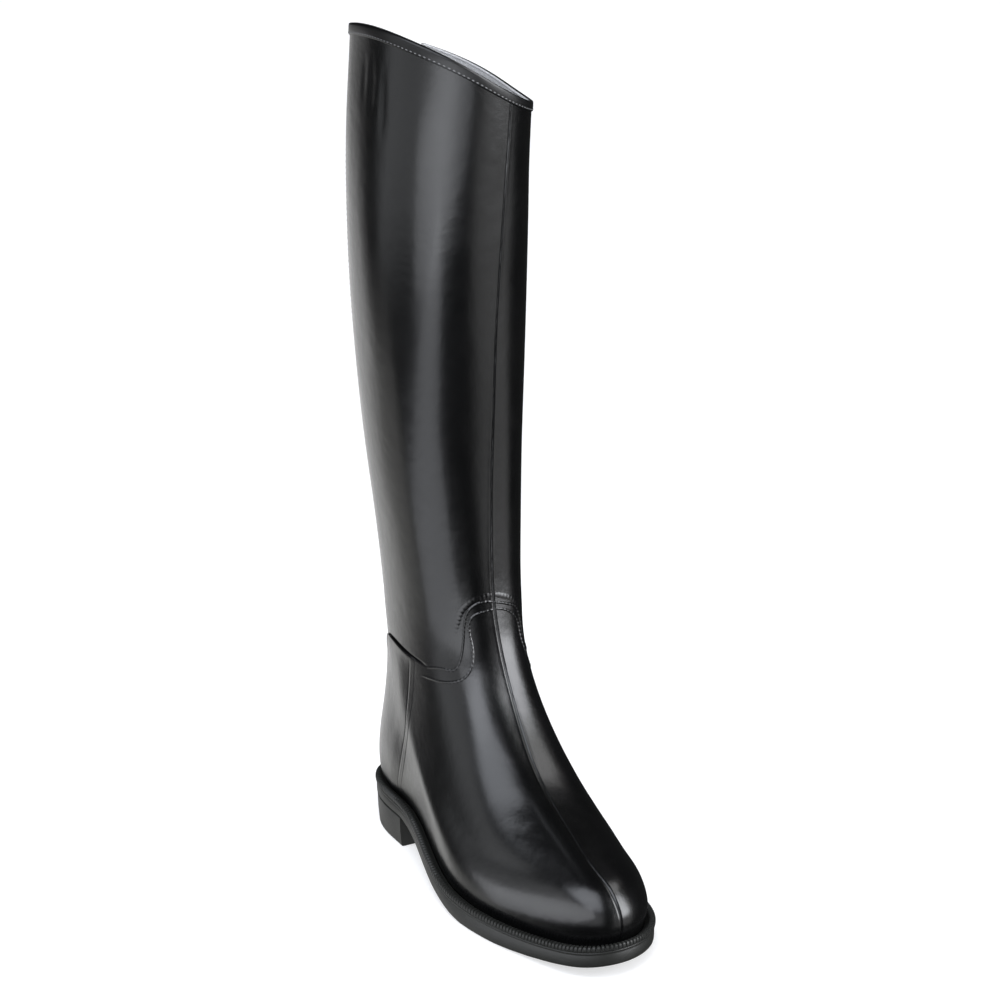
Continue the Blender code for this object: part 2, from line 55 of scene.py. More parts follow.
soleLine = [  # along, out: from the back round the outer side to the toe and home
    (5.8, 0.0), (12.5, 21.8), (32.7, 30.6), (63.5, 32.0), (101.0, 38.5), (144.0, 46.5), (182.5, 44.0),
    (213.5, 35.5), (240.5, 26.0), (255.5, 16.5), (259.6, 2.3), (253.8, -14.0), (236.5, -29.5), (206.7, -38.7),
    (178.0, -40.0), (144.0, -31.5), (101.0, -25.8), (63.5, -25.6), (32.7, -26.2), (12.5, -19.0),
]
toeRow = 10

soleHeights = [  # along, height of the line where upper and sole meet
    (-10.0, 31.2), (38.5, 31.2), (72.0, 29.2), (106.0, 23.1), (144.0, 16.1), (183.0, 14.4), (216.0, 14.9),
    (245.0, 17.9), (274.0, 22.9),
]

underside = [  # along, height of the sole's underside
    (-10.0, 20.0), (59.5, 20.0), (64.0, 19.4), (85.0, 15.6), (105.0, 11.0), (125.0, 6.6), (143.0, 3.2),
    (154.0, 1.1), (164.0, 0.0), (196.0, 0.0), (208.0, 0.6), (222.0, 1.9), (239.0, 4.1), (256.0, 7.0),
    (274.0, 10.5),
]

legSections = [  # height, back, front, half width, sideways centre, fullness
    (30.0, 0.0, 120.0, 32.0, 1.0, 0.060), (55.0, -1.0, 118.5, 32.0, 0.5, 0.065),
    (80.0, 1.5, 117.5, 31.8, 0.0, 0.070), (110.0, 4.0, 116.5, 32.0, 0.0, 0.070),
    (135.0, 5.0, 115.2, 33.0, -0.2, 0.068), (160.0, 5.0, 112.2, 34.3, -0.2, 0.065),
    (180.0, 4.8, 109.8, 35.6, 0.4, 0.062), (200.0, 4.5, 108.8, 37.1, 1.2, 0.060),
    (250.0, 4.0, 108.8, 41.2, 4.0, 0.055), (300.0, 4.5, 111.8, 44.9, 6.5, 0.050),
    (350.0, 5.5, 115.0, 47.6, 8.6, 0.046), (400.0, 4.0, 117.8, 48.3, 9.0, 0.046),
    (440.0, 1.3, 119.2, 47.6, 7.9, 0.046), (500.0, -0.6, 120.2, 46.3, 4.5, 0.046),
    (520.0, -0.8, 120.4, 46.0, 4.0, 0.046),
]

collar = {"mean": 481.2, "back": 5.1, "outer": 20.5, "backTwice": -0.1, "outerTwice": -3.0}

footGuides = {  # inward and upward shares at equal steps from sole line to ankle
    "heel": [
        (0, 0), (0.067, 0.104), (0.16, 0.222), (0.287, 0.36), (0.44, 0.515), (0.62, 0.69), (0.81, 0.86), (1, 1),
    ],
    "quarter": [
        (0, 0), (-0.014, 0.104), (0.012, 0.222), (0.105, 0.36), (0.245, 0.515), (0.44, 0.69), (0.69, 0.86),
        (1, 1),
    ],
    "waist": [
        (0, 0), (-0.005, 0.084), (0.023, 0.175), (0.118, 0.286), (0.26, 0.42), (0.45, 0.59), (0.71, 0.79),
        (1, 1),
    ],
    "ball": [
        (0, 0), (-0.005, 0.07), (0.018, 0.152), (0.06, 0.21), (0.118, 0.295), (0.30, 0.50), (0.59, 0.77),
        (1, 1),
    ],
    "toe": [
        (0, 0), (-0.004, 0.10), (0.02, 0.195), (0.06, 0.25), (0.15, 0.325), (0.33, 0.47), (0.60, 0.73), (1, 1),
    ],
}

footSwell = [  # place round, bulge past the sole line
    (0.0, 4.5), (0.125, 5.5), (0.25, 1.5), (0.375, 0.5), (0.5, 0.5), (0.625, 0.5), (0.75, 1.0), (0.875, 3.5),
    (1.0, 4.5),
]


def tableColumn(table, index):
    return np.array([row[index] for row in table], dtype=float)


def bends(knots, values, closed):
    count = len(knots)
    steps = np.diff(knots)
    matrix = np.zeros((count, count))
    right = np.zeros((count,) + values.shape[1:])
    for i in range(1, count - 1):
        matrix[i, i - 1] = steps[i - 1]
        matrix[i, i] = 2 * (steps[i - 1] + steps[i])
        matrix[i, i + 1] = steps[i]
        right[i] = 6 * ((values[i + 1] - values[i]) / steps[i] - (values[i] - values[i - 1]) / steps[i - 1])
    matrix[0, 0] = 1
    matrix[-1, -1] = 1
    if closed:
        matrix[0, -1] = -1
        matrix[-1, 0] = 2 * steps[0]
        matrix[-1, 1] = steps[0]
        matrix[-1, -2] = steps[-1]
        matrix[-1, -1] = 2 * steps[-1]
        right[-1] = 6 * ((values[1] - values[0]) / steps[0] - (values[-1] - values[-2]) / steps[-1])
    return np.linalg.solve(matrix, right.reshape(count, -1)).reshape(right.shape)


def smooth(knots, values, at, closed=False):
    knots = np.asarray(knots, dtype=float)
    values = np.asarray(values, dtype=float)
    at = np.asarray(at, dtype=float)
    bend = bends(knots, values, closed)
    i = np.clip(np.searchsorted(knots, at, side="right") - 1, 0, len(knots) - 2)
    step = knots[i + 1] - knots[i]
    a = (knots[i + 1] - at) / step
    b = (at - knots[i]) / step
    if values.ndim > 1:
        a, b, step = a[..., None], b[..., None], step[..., None]
    curve = ((a**3 - a) * bend[i] + (b**3 - b) * bend[i + 1]) * step**2 / 6
    return a * values[i] + b * values[i + 1] + curve


def ease(t):
    t = np.clip(t, 0, 1)
    return t * t * (3 - 2 * t)


def bell(x):
    return np.exp(-(x**2))


def floats(*values):
    return np.broadcast_arrays(*[np.asarray(x, dtype=float) for x in values])


def unit(vectors):
    return vectors / np.linalg.norm(vectors, axis=-1)[..., None]


# a table's column at given places, rounded through its rows or straight between them
def curveAt(table, at, column=1, closed=False):
    return smooth(tableColumn(table, 0), tableColumn(table, column), at, closed)


def tableAt(table, at, column=1):
    return np.interp(at, tableColumn(table, 0), tableColumn(table, column))


def pathRun(points):
    return np.concatenate([[0.0], np.cumsum(np.linalg.norm(np.diff(points, axis=0), axis=1))])


def outlineLine():
    corners = np.array(soleLine + soleLine[:1], dtype=float)
    chord = pathRun(corners)
    fine = np.linspace(0, chord[-1], 1601)
    line = smooth(chord, corners, fine, closed=True)
    run = pathRun(line)
    toe = np.interp(chord[toeRow], fine, run)
    share = np.where(run < toe, 0.5 * run / toe, 0.5 + 0.5 * (run - toe) / (run[-1] - toe))
    tangent = np.gradient(line, axis=0)
    tangent[0] = line[1] - line[-2]
    tangent[-1] = tangent[0]
    tangent = unit(tangent)
    return share, line, np.stack([-tangent[:, 1], tangent[:, 0]], axis=1)


outlineShare, outlinePath, outlineOut = outlineLine()


def rim(u, grow=0.0):
    u = np.mod(u, 1.0)
    grow = np.asarray(grow, dtype=float)[..., None]
    place = np.stack([np.interp(u, outlineShare, outlinePath[:, k]) for k in (0, 1)], axis=-1)
    outward = np.stack([np.interp(u, outlineShare, outlineOut[:, k]) for k in (0, 1)], axis=-1)
    return place + grow * outward


def soleTop(along):
    return curveAt(soleHeights, along)


def soleUnder(along):
    return tableAt(underside, along)


def collarHeight(u):
    turn = 2 * math.pi * u
    once = collar["back"] * np.cos(turn) + collar["outer"] * np.sin(turn)
    twice = collar["backTwice"] * np.cos(2 * turn) + collar["outerTwice"] * np.sin(2 * turn)
    return collar["mean"] + once + twice


def legSection(u, z):
    back, front, half, centre, full = [curveAt(legSections, z, k) for k in range(1, 6)]
    turn = 2 * math.pi * u
    corner = 1 + full * np.sin(2 * turn) ** 2
    along = (back + front) / 2 - (front - back) / 2 * np.cos(turn) * corner
    return along, centre + half * np.sin(turn) * corner


def guideShares(u, w):
    order = ["heel", "quarter", "waist", "ball", "toe", "ball", "waist", "quarter", "heel"]
    rounds = np.linspace(0, 1, len(order))
    steps = np.linspace(0, 1, len(footGuides["heel"]))
    values = np.array([smooth(steps, np.array(footGuides[n], dtype=float), w) for n in order])
    bend = bends(rounds, values, True)
    i = np.clip(np.searchsorted(rounds, u, side="right") - 1, 0, len(rounds) - 2)
    n = np.arange(len(u))
    step = rounds[1]
    a = ((rounds[i + 1] - u) / step)[:, None]
    b = ((u - rounds[i]) / step)[:, None]
    curve = ((a**3 - a) * bend[i, n] + (b**3 - b) * bend[i + 1, n]) * step**2 / 6
    shares = a * values[i, n] + b * values[i + 1, n] + curve
    return 1 - (1 - shares[:, 0]) ** 3, shares[:, 1]


# outer face: u runs round from the back, v is 0 at the sole line, 1 at the ankle, 2 at the collar
def surface(u, v):
    u, v = floats(u, v)
    shape = u.shape
    u = np.mod(u.ravel(), 1.0)
    v = v.ravel()
    inward, upward = guideShares(u, np.clip(v, 0, 1))
    foot = rim(u)
    footZ = soleTop(foot[:, 0])
    bulge = curveAt(footSwell, u, closed=True) * np.sin(math.pi * np.clip(upward, 0, 1) ** 0.6)
    foot = rim(u, bulge)
    z = footZ + (form["ankle"] - footZ) * upward
    z = np.where(v > 1, form["ankle"] + (collarHeight(u) - form["ankle"]) * (v - 1), z)
    z = np.where(v < 0, footZ + 10 * form["skirt"] * v, z)
    inward = np.where(v > 1, 1.0, inward)
    along, out = legSection(u, z)
    along = foot[:, 0] * (1 - inward) + along * inward
    out = foot[:, 1] * (1 - inward) + out * inward
    return np.stack([along, out, z], axis=-1).reshape(shape + (3,))


def facing(u, v):
    u, v = floats(u, v)
    stepU, stepV = 0.003, 0.006
    across = surface(u + stepU, v) - surface(u - stepU, v)
    low = np.where(v > 0, np.maximum(v - stepV, 0), v)
    rise = surface(u, v + stepV) - surface(u, low)
    normal = np.cross(rise, across)
    normal[..., 2] = np.where((v <= 0) | (v >= 2), 0, normal[..., 2])
    return unit(normal)


# slow unevenness of the moulded leg
def sway(u, v):
    leg = ease((v - 1.02) / 0.3) * (1 - ease((v - 1.86) / 0.12))
    turn = 2 * math.pi * np.asarray(u)
    slow = 0.55 * np.sin(2 * turn + 5.1 * v) + 0.45 * np.sin(3 * turn - 8.3 * v + 1.1)
    return 0.3 * leg * (slow + 0.5 * np.sin(5 * turn + 11.0 * v))


def skin(u, v, lift):
    u, v, lift = floats(u, v, lift)
    return surface(u, v) + facing(u, v) * (lift + sway(u, v))[..., None]


def riseAt(u, height):
    low = np.zeros(np.shape(u))
    high = np.ones(np.shape(u))
    for _ in range(30):
        middle = (low + high) / 2
        under = surface(u, middle)[..., 2] < height
        low = np.where(under, middle, low)
        high = np.where(under, high, middle)
    return (low + high) / 2


def placed(points):
    points = np.asarray(points, dtype=float)
    x, y = form["outMid"] - points[..., 1], form["alongMid"] - points[..., 0]
    return np.stack([x, y, points[..., 2]], axis=-1) * 0.001


# mesh helpers
def addObject(name, data):
    made = bpy.data.objects.new(name, data)
    bpy.context.scene.collection.objects.link(made)
    return made


def addPiece(name, points, faces, paints, sharp, paintOf=None):
    mesh = bpy.data.meshes.new(name)
    mesh.from_pydata(placed(points).reshape(-1, 3).tolist(), [], faces)
    for paint in paints:
        mesh.materials.append(paint)
    if paintOf is not None:
        mesh.polygons.foreach_set("material_index", np.asarray(paintOf, dtype=np.int32))
    edit = bmesh.new()
    edit.from_mesh(mesh)
    bmesh.ops.remove_doubles(edit, verts=edit.verts, dist=1e-7)
    bmesh.ops.recalc_face_normals(edit, faces=edit.faces)
    edit.to_mesh(mesh)
    edit.free()
    mesh.polygons.foreach_set("use_smooth", np.ones(len(mesh.polygons), dtype=bool))
    mesh.set_sharp_from_angle(angle=math.radians(sharp))
    piece = addObject(name, mesh)
    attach(piece, "root")
    return piece


# closed piece between an outer and an inner grid of points, and which of its faces are inner ones
def closedGrid(outer, inner):
    rows, columns, _ = outer.shape
    far = rows * columns
    index = np.arange(far).reshape(rows, columns)
    quads = np.stack([index[:-1, :-1], index[:-1, 1:], index[1:, 1:], index[1:, :-1]], axis=-1).reshape(-1, 4)
    borders = (index[0], index[-1], index[:, 0], index[:, -1])
    sides = np.concatenate([np.stack([n[:-1], n[1:], n[1:] + far, n[:-1] + far], axis=-1) for n in borders])
    points = np.concatenate([outer.reshape(-1, 3), inner.reshape(-1, 3)])
    faces = np.concatenate([quads, (quads + far)[:, ::-1], sides]).tolist()
    return points, faces, np.repeat([0, 1, 0], [len(quads), len(quads), len(sides)])


# the second paint, if there is one, is for the inner side
def addShell(name, outer, inner, paints, sharp):
    points, faces, inside = closedGrid(outer, inner)
    return addPiece(name, points, faces, paints, sharp, inside * (len(paints) - 1))


# closed piece through a row of like closed sections
def loftLoops(loops, ring=False, caps=True):
    count, corners, _ = loops.shape
    index = np.arange(count * corners).reshape(count, corners)
    after = np.roll(index, -1, axis=0) if ring else index[1:]
    before = index if ring else index[:-1]
    quads = np.stack([before, np.roll(before, -1, axis=1), np.roll(after, -1, axis=1), after], axis=-1)
    faces = quads.reshape(-1, 4).tolist()
    if caps and not ring:
        faces.append(index[0].tolist())
        faces.append(index[-1][::-1].tolist())
    return loops.reshape(-1, 3), faces


# a path of places on the boot, rounded and spaced evenly
def evenPath(places, spacing):
    places = np.array(places, dtype=float)
    fine = smooth(np.arange(len(places)), places, np.linspace(0, len(places) - 1, 40 * len(places)))
    run = pathRun(surface(fine[:, 0], fine[:, 1]))
    at = np.linspace(0, run[-1], max(3, int(round(run[-1] / spacing)) + 1))
    return np.stack([np.interp(at, run, fine[:, k]) for k in (0, 1)], axis=-1), at


# places to the side of a path, in millimetres across the boot's face
def besidePath(path, offsets):
    u, v = path[:, 0], path[:, 1]
    step = 1e-3
    du = (surface(u + step, v) - surface(u - step, v)) / (2 * step)
    dv = (surface(u, v + step) - surface(u, v - step)) / (2 * step)
    normal = facing(u, v)
    across = np.cross(normal, unit(np.gradient(surface(u, v), axis=0)))
    gram = np.stack([(du * du).sum(1), (du * dv).sum(1), (dv * dv).sum(1)], axis=1)
    right = np.stack([(du * across).sum(1), (dv * across).sum(1)], axis=1)
    det = gram[:, 0] * gram[:, 2] - gram[:, 1] ** 2
    stepU = (gram[:, 2] * right[:, 0] - gram[:, 1] * right[:, 1]) / det
    stepV = (gram[:, 0] * right[:, 1] - gram[:, 1] * right[:, 0]) / det
    offsets = np.asarray(offsets, dtype=float)[None, :]
    return u[:, None] + stepU[:, None] * offsets, v[:, None] + stepV[:, None] * offsets


# moulded strip along a path: offsets across it, heights there, and how strong it is along its length
def moulding(name, places, look):
    path, run = evenPath(places, look["spacing"])
    u, v = besidePath(path, look["offsets"])
    ripple = 1 - look["ripple"] + look["ripple"] * np.sin(2 * math.pi * run / look["pitch"])
    share = np.interp(run / run[-1], *zip(*look["strength"])) * ripple
    lift = np.asarray(look["heights"])[None, :] * share[:, None] - look["set"]
    seam = bell(np.abs(u - seamRound(v)) * form["legRound"] / look["cutWidth"])
    lift = lift - (lift + look["cutDepth"]) * seam
    return addShell(name, skin(u, v, lift), skin(u, v, -look["sunk"]), [glossRubber], 60)


# rows of short thread stitches along paths
def stitchRow(name, paths, look, paint):
    points = []
    faces = []
    sides, rings = 6, 6
    turn = 2 * math.pi * np.arange(sides)[None, :, None] / sides
    along = np.linspace(0, 1, rings)
    arch = np.sin(math.pi * along) ** 0.6
    size = look["radius"] * (0.45 + 0.55 * arch)[:, None, None]
    for places in paths:
        path, run = evenPath(places, 0.25)
        count = max(1, int(run[-1] // look["pitch"]))
        for k in range(count):
            start = (k + 0.5) * run[-1] / count - look["length"] / 2
            u, v = [np.interp(start + look["length"] * along, run, path[:, i]) for i in (0, 1)]
            centre = skin(u, v, look["lift"] - look["radius"] * (1.3 - 1.3 * arch))
            normal = facing(u, v)
            across = np.cross(normal, unit(np.gradient(centre, axis=0)))
            loop = across[:, None] * np.cos(turn) + normal[:, None] * 0.8 * np.sin(turn)
            part, partFaces = loftLoops(centre[:, None] + size * loop)
            faces += [[n + len(points) for n in face] for face in partFaces]
            points += part.tolist()
    return addPiece(name, np.array(points), faces, [paint], 80)


# shader node helpers
def nodeTree(name):
    paint = bpy.data.materials.new(name)
    paint.use_nodes = True
    tree = paint.node_tree
    return paint, tree, tree.nodes["Principled BSDF"]


def fill(node, values):
    for key, value in values.items():
        node.inputs[key].default_value = value


def addNode(tree, kind, values=None, **settings):
    node = tree.nodes.new(kind)
    for key, value in settings.items():
        setattr(node, key, value)
    fill(node, values or {})
    return node


def wire(tree, fromNode, fromSocket, toNode, toSocket):
    tree.links.new(fromNode.outputs[fromSocket], toNode.inputs[toSocket])


# arithmetic on numbers and sockets
def mathNode(tree, operation, *values, clamp=False):
    node = addNode(tree, "ShaderNodeMath", operation=operation, use_clamp=clamp)
    for k, value in enumerate(values):
        if isinstance(value, (int, float)):
            node.inputs[k].default_value = value
        else:
            tree.links.new(value, node.inputs[k])
    return node.outputs[0]


def groupTree(name, inputs, outputs):
    tree = bpy.data.node_groups.new(name, "ShaderNodeTree")
    for label, value in inputs:
        socket = tree.interface.new_socket(name=label, in_out="INPUT", socket_type="NodeSocketFloat")
        socket.default_value = value
    for label in outputs:
        tree.interface.new_socket(name=label, in_out="OUTPUT", socket_type="NodeSocketFloat")
    return tree, tree.nodes.new("NodeGroupInput"), tree.nodes.new("NodeGroupOutput")


# moulded rubber: fine grain height, smudged gloss and slow tone, all from the boot's own coordinates
def makeRubberSkin():
    scales = [("Grain Scale", 900.0), ("Pebble Scale", 260.0), ("Smudge Scale", 30.0), ("Swell Scale", 90.0)]
    shares = [("Swell", 1.0), ("Gloss", 0.25), ("Smudge", 0.1)]
    tree, given, out = groupTree("rubberSkin", scales + shares, ["Height", "Roughness", "Tone"])
    place = addNode(tree, "ShaderNodeTexCoord")
    grain = addNode(tree, "ShaderNodeTexNoise", {"Detail": 3.0, "Roughness": 0.6})
    pebble = addNode(tree, "ShaderNodeTexVoronoi", {"Randomness": 1.0}, feature="SMOOTH_F1")
    smudge = addNode(tree, "ShaderNodeTexNoise", {"Detail": 4.0, "Roughness": 0.65, "Distortion": 0.6})
    swell = addNode(tree, "ShaderNodeTexNoise", {"Detail": 2.0, "Roughness": 0.5})
    for node, (label, _) in zip((grain, pebble, smudge, swell), scales):
        wire(tree, place, "Object", node, "Vector")
        wire(tree, given, label, node, "Scale")
    tone = smudge.outputs["Fac"]
    fine = mathNode(tree, "MULTIPLY_ADD", pebble.outputs["Distance"], 0.45, grain.outputs["Fac"])
    height = mathNode(tree, "MULTIPLY_ADD", swell.outputs["Fac"], given.outputs["Swell"], fine)
    centred = mathNode(tree, "SUBTRACT", tone, 0.5)
    rough = mathNode(tree, "MULTIPLY_ADD", centred, given.outputs["Smudge"], given.outputs["Gloss"], clamp=True)
    for label, value in (("Height", height), ("Roughness", rough), ("Tone", tone)):
        tree.links.new(value, out.inputs[label])
    return tree


# threads crossing on the slant: height of the cloth and a mask of its lighter flecks
def makeWeave():
    inputs = [("Threads", 1300.0), ("Slant", 0.7), ("Fleck Scale", 420.0)]
    tree, given, out = groupTree("weave", inputs, ["Height", "Fleck"])
    place = addNode(tree, "ShaderNodeAttribute", attribute_name="cloth")
    split = addNode(tree, "ShaderNodeSeparateXYZ")
    wire(tree, place, "Vector", split, "Vector")
    waves = []
    for sign in (1.0, -1.0):
        lean = mathNode(tree, "MULTIPLY", split.outputs["Y"], given.outputs["Slant"])
        mixed = mathNode(tree, "MULTIPLY_ADD", lean, sign, split.outputs["X"])
        waves.append(mathNode(tree, "SINE", mathNode(tree, "MULTIPLY", mixed, given.outputs["Threads"])))
    top = mathNode(tree, "MAXIMUM", *waves)
    fleck = addNode(tree, "ShaderNodeTexNoise", {"Detail": 2.0})
    wire(tree, place, "Vector", fleck, "Vector")
    wire(tree, given, "Fleck Scale", fleck, "Scale")
    sharp = addNode(tree, "ShaderNodeMapRange", {"From Min": 0.5, "From Max": 0.75}, clamp=True)
    wire(tree, fleck, "Fac", sharp, "Value")
    fleckTop = mathNode(tree, "MULTIPLY", sharp.outputs["Result"], top, clamp=True)
    for label, value in (("Height", top), ("Fleck", fleckTop)):
        tree.links.new(value, out.inputs[label])
    return tree


rubberSkin = makeRubberSkin()
weave = makeWeave()


# colour between two tones by the effect's mask, and a bump from its height
def effectPaint(name, look, group, values, mask):
    paint, tree, shader = nodeTree(name)
    effect = addNode(tree, "ShaderNodeGroup", values, node_tree=group)
    tones = {6: look["dark"] + (1,), 7: look["light"] + (1,)}
    tone = addNode(tree, "ShaderNodeMix", tones, data_type="RGBA")
    wire(tree, effect, mask, tone, 0)
    wire(tree, tone, 2, shader, "Base Color")
    bump = addNode(tree, "ShaderNodeBump", {"Strength": look["bump"], "Distance": look["depth"]})
    wire(tree, effect, "Height", bump, "Height")
    wire(tree, bump, "Normal", shader, "Normal")
    fill(shader, look["shader"])
    return paint, tree, effect, shader


def rubberPaint(name, look):
    paint, tree, effect, shader = effectPaint(name, look, rubberSkin, look["skin"], "Tone")
    wire(tree, effect, "Roughness", shader, "Roughness")
    return paint


def clothPaint(name, look):
    return effectPaint(name, look, weave, look["weave"], "Fleck")[0]


# finishes
glossLook = {
    "skin": {
        "Grain Scale": 1500.0, "Pebble Scale": 420.0, "Swell Scale": 110.0, "Swell": 3.0,
        "Smudge Scale": 28.0, "Gloss": 0.22, "Smudge": 0.2,
    },
    "dark": (0.0009, 0.00095, 0.00105), "light": (0.002, 0.00205, 0.0022), "bump": 0.33, "depth": 0.0002,
    "shader": {"Coat Weight": 0.35, "Coat Roughness": 0.16, "Specular IOR Level": 0.5},
}
tapeLook = dict(glossLook, bump=0.25, shader={**glossLook["shader"], "Coat Weight": 0.15})
tapeLook["skin"] = {
    "Grain Scale": 2200.0, "Pebble Scale": 900.0, "Smudge Scale": 60.0, "Gloss": 0.36, "Smudge": 0.2,
}
soleLook = {
    "skin": {"Grain Scale": 2600.0, "Pebble Scale": 700.0, "Smudge Scale": 45.0, "Gloss": 0.43, "Smudge": 0.2},
    "dark": (0.0105, 0.0108, 0.0098), "light": (0.0155, 0.016, 0.0145), "bump": 0.3, "depth": 0.0002,
    "shader": {"Coat Weight": 0.0, "Coat Roughness": 0.3, "Specular IOR Level": 0.45},
}
# stitch thread: black thread whose tones are raised to grey, a painted highlight standing in for the glints on the
# stitches
threadLook = {
    "skin": {"Grain Scale": 4000.0, "Pebble Scale": 2500.0, "Smudge Scale": 90.0, "Gloss": 0.5, "Smudge": 0.3},
    "dark": (0.06, 0.06, 0.062), "light": (0.16, 0.16, 0.163), "bump": 0.4, "depth": 0.0002,
    "shader": {"Coat Weight": 0.0, "Coat Roughness": 0.3, "Specular IOR Level": 0.5},
}
clothShader = {"Sheen Roughness": 0.5, "Specular IOR Level": 0.25}
elasticLook = {
    "weave": {"Threads": 3600.0, "Slant": 0.62, "Fleck Scale": 900.0},
    "dark": (0.006, 0.006, 0.0063), "light": (0.06, 0.06, 0.0613), "bump": 1.0, "depth": 0.0006,
    "shader": {**clothShader, "Roughness": 0.75, "Sheen Weight": 0.12},
}
liningLook = {
    "weave": {"Threads": 4200.0, "Slant": 1.0, "Fleck Scale": 700.0},
    "dark": (0.42, 0.422, 0.427), "light": (0.66, 0.662, 0.668), "bump": 0.6, "depth": 0.0004,
    "shader": {**clothShader, "Roughness": 0.9, "Sheen Weight": 0.15},
}
footbedLook = dict(liningLook, dark=(0.16, 0.162, 0.165), light=(0.3, 0.302, 0.305))

glossRubber = rubberPaint("glossRubber", glossLook)
tapeRubber = rubberPaint("tapeRubber", tapeLook)
soleRubber = rubberPaint("soleRubber", soleLook)
# thread paint: its grey tone is painted highlight on black thread
threadWithPaintedGlint = rubberPaint("threadWithPaintedGlint", threadLook)
elasticCloth = clothPaint("elasticCloth", elasticLook)
liningCloth = clothPaint("liningCloth", liningLook)
footbedCloth = clothPaint("footbedCloth", footbedLook)
print("finishes ready")


legWrap = {"along": 60.0, "radius": 0.055}  # axis and size of the leg that the lining goes round


def pointsOf(piece):
    points = np.zeros(len(piece.data.vertices) * 3)
    piece.data.vertices.foreach_get("co", points)
    return points.reshape(-1, 3)


# cloth directions in metres, kept on the points for the weave
def layCloth(piece, coordinates):
    lay = piece.data.attributes.new("cloth", "FLOAT_VECTOR", "POINT")
    lay.data.foreach_set("vector", np.asarray(coordinates, dtype=np.float32).ravel())


def layByPlace(piece):
    points = pointsOf(piece)
    axis = (form["alongMid"] - legWrap["along"]) * 0.001
    angle = np.arctan2(points[:, 0], points[:, 1] - axis)
    layCloth(piece, np.stack([angle * legWrap["radius"], points[:, 2], points[:, 1]], axis=-1))


# upper
upperLook = {
    "nearSeam": [0, 0.35, 0.7, 1.05, 1.5, 2.1, 2.9, 4.0],  # columns beside the front seam, mm
    "nearEdge": [0, 0.3, 0.7, 1.3, 2.2],  # columns beside the elastic opening, mm
    "columns": 74,
    "footRows": 97,
    "legRows": 146,
    "edgeRound": 0.55,
    "edgeRun": 1.2,
    "grooveDepth": 0.55,
    "grooveWidth": 0.5,
    "lip": 0.14,
    "lipAt": 1.3,
    "lipWidth": 0.7,
    "ridge": 0.6,
    "ridgeWidth": 8.0,
    "toe": 1.3,
    "toeAt": (0.5, 0.26),  # u, v
    "toeSize": (0.045, 0.1),
    "gapRow": 0.84,  # row that follows the counter's top
    "gapSteps": [-0.014, -0.008, -0.004, -0.001, 0.001, 0.003, 0.005, 0.007, 0.009, 0.012, 0.016],
    "gapDepth": 0.95,
    "gapWidth": 0.5,
    "gapAbove": 0.55,
    "gapEnd": 0.293,  # place from the back where the gap runs out
    "gapFade": 0.026,
}
gapLine = [  # place from the back, v of the counter's top
    (0.0, 0.762), (0.018, 0.763), (0.034, 0.762), (0.046, 0.746), (0.058, 0.724), (0.0755, 0.702),
    (0.096, 0.689), (0.116, 0.697), (0.136, 0.735), (0.155, 0.781), (0.172, 0.806), (0.19, 0.824),
    (0.225, 0.8445), (0.2537, 0.8525), (0.279, 0.8565), (0.2992, 0.8575), (0.3167, 0.857), (0.36, 0.857),
]
seamLine = [  # v, u of the front seam
    (-0.1, 0.502), (0.0, 0.502), (0.1, 0.502), (0.2, 0.5), (0.35, 0.4965), (0.5, 0.494), (0.63, 0.4975),
    (0.73, 0.5035), (0.82, 0.5125), (0.9, 0.5135), (0.97, 0.507), (1.03, 0.503), (1.1, 0.5045), (1.2, 0.511),
    (1.35, 0.521), (1.53, 0.5285), (1.67, 0.537), (1.8, 0.5435), (1.9, 0.5475), (2.0, 0.5495),
]
cutLine = [  # v, centre and half width of the elastic opening above its round end
    (1.43, 0.045, 0.091), (1.51, 0.044, 0.091), (1.67, 0.044, 0.091), (1.77, 0.044, 0.091), (1.86, 0.041, 0.09),
    (1.93, 0.036, 0.089), (2.0, 0.03, 0.088),
]
cutEnd = {"low": 1.43, "high": 1.51, "power": 2.2}
creases = [  # places, width, depth: troughs are positive
    ([(0.404, 0.614), (0.42, 0.593), (0.445, 0.597), (0.47, 0.612)], 3.4, 0.2),
    ([(0.428, 0.583), (0.449, 0.571), (0.468, 0.543)], 3.2, 0.16),
    ([(0.424, 0.652), (0.447, 0.634), (0.463, 0.637)], 3.2, 0.14),
    ([(0.56, 0.6), (0.585, 0.585), (0.605, 0.6)], 3.4, 0.18),
    ([(0.395, 0.665), (0.44, 0.652), (0.48, 0.668)], 9.0, 0.2),
    ([(0.535, 0.668), (0.575, 0.65), (0.615, 0.668)], 9.0, 0.2),
    ([(0.272, 1.955), (0.272, 1.86)], 3.2, 0.42),
    ([(0.302, 1.945), (0.306, 1.82)], 2.8, 0.34),
    ([(0.248, 1.955), (0.25, 1.87)], 2.8, 0.28),
    ([(0.33, 1.95), (0.335, 1.87)], 2.6, 0.2),
    ([(0.31, 0.55), (0.335, 0.42), (0.36, 0.34)], 7.0, 0.35),
]


def seamRound(v):
    return curveAt(seamLine, np.clip(v, seamLine[0][0], seamLine[-1][0]))


def cutCentre(v):
    return tableAt(cutLine, v) * ease((v - 1.0) / (cutEnd["low"] - 1.0))


# share of the opening's half width or end height left, a rounded square corner
def cutRound(away, power=cutEnd["power"]):
    return (1 - away**power) ** (1 / power)


def cutHalf(v):
    drop = np.clip((cutEnd["high"] - v) / (cutEnd["high"] - cutEnd["low"]), 0, 1)
    return tableAt(cutLine, v, 2) * cutRound(drop)


# v of the opening's round lower end
def cutEdge(u):
    away = np.clip(np.abs(u - cutLine[0][1]) / cutLine[0][2], 0, 1)
    return cutEnd["high"] - (cutEnd["high"] - cutEnd["low"]) * cutRound(away)


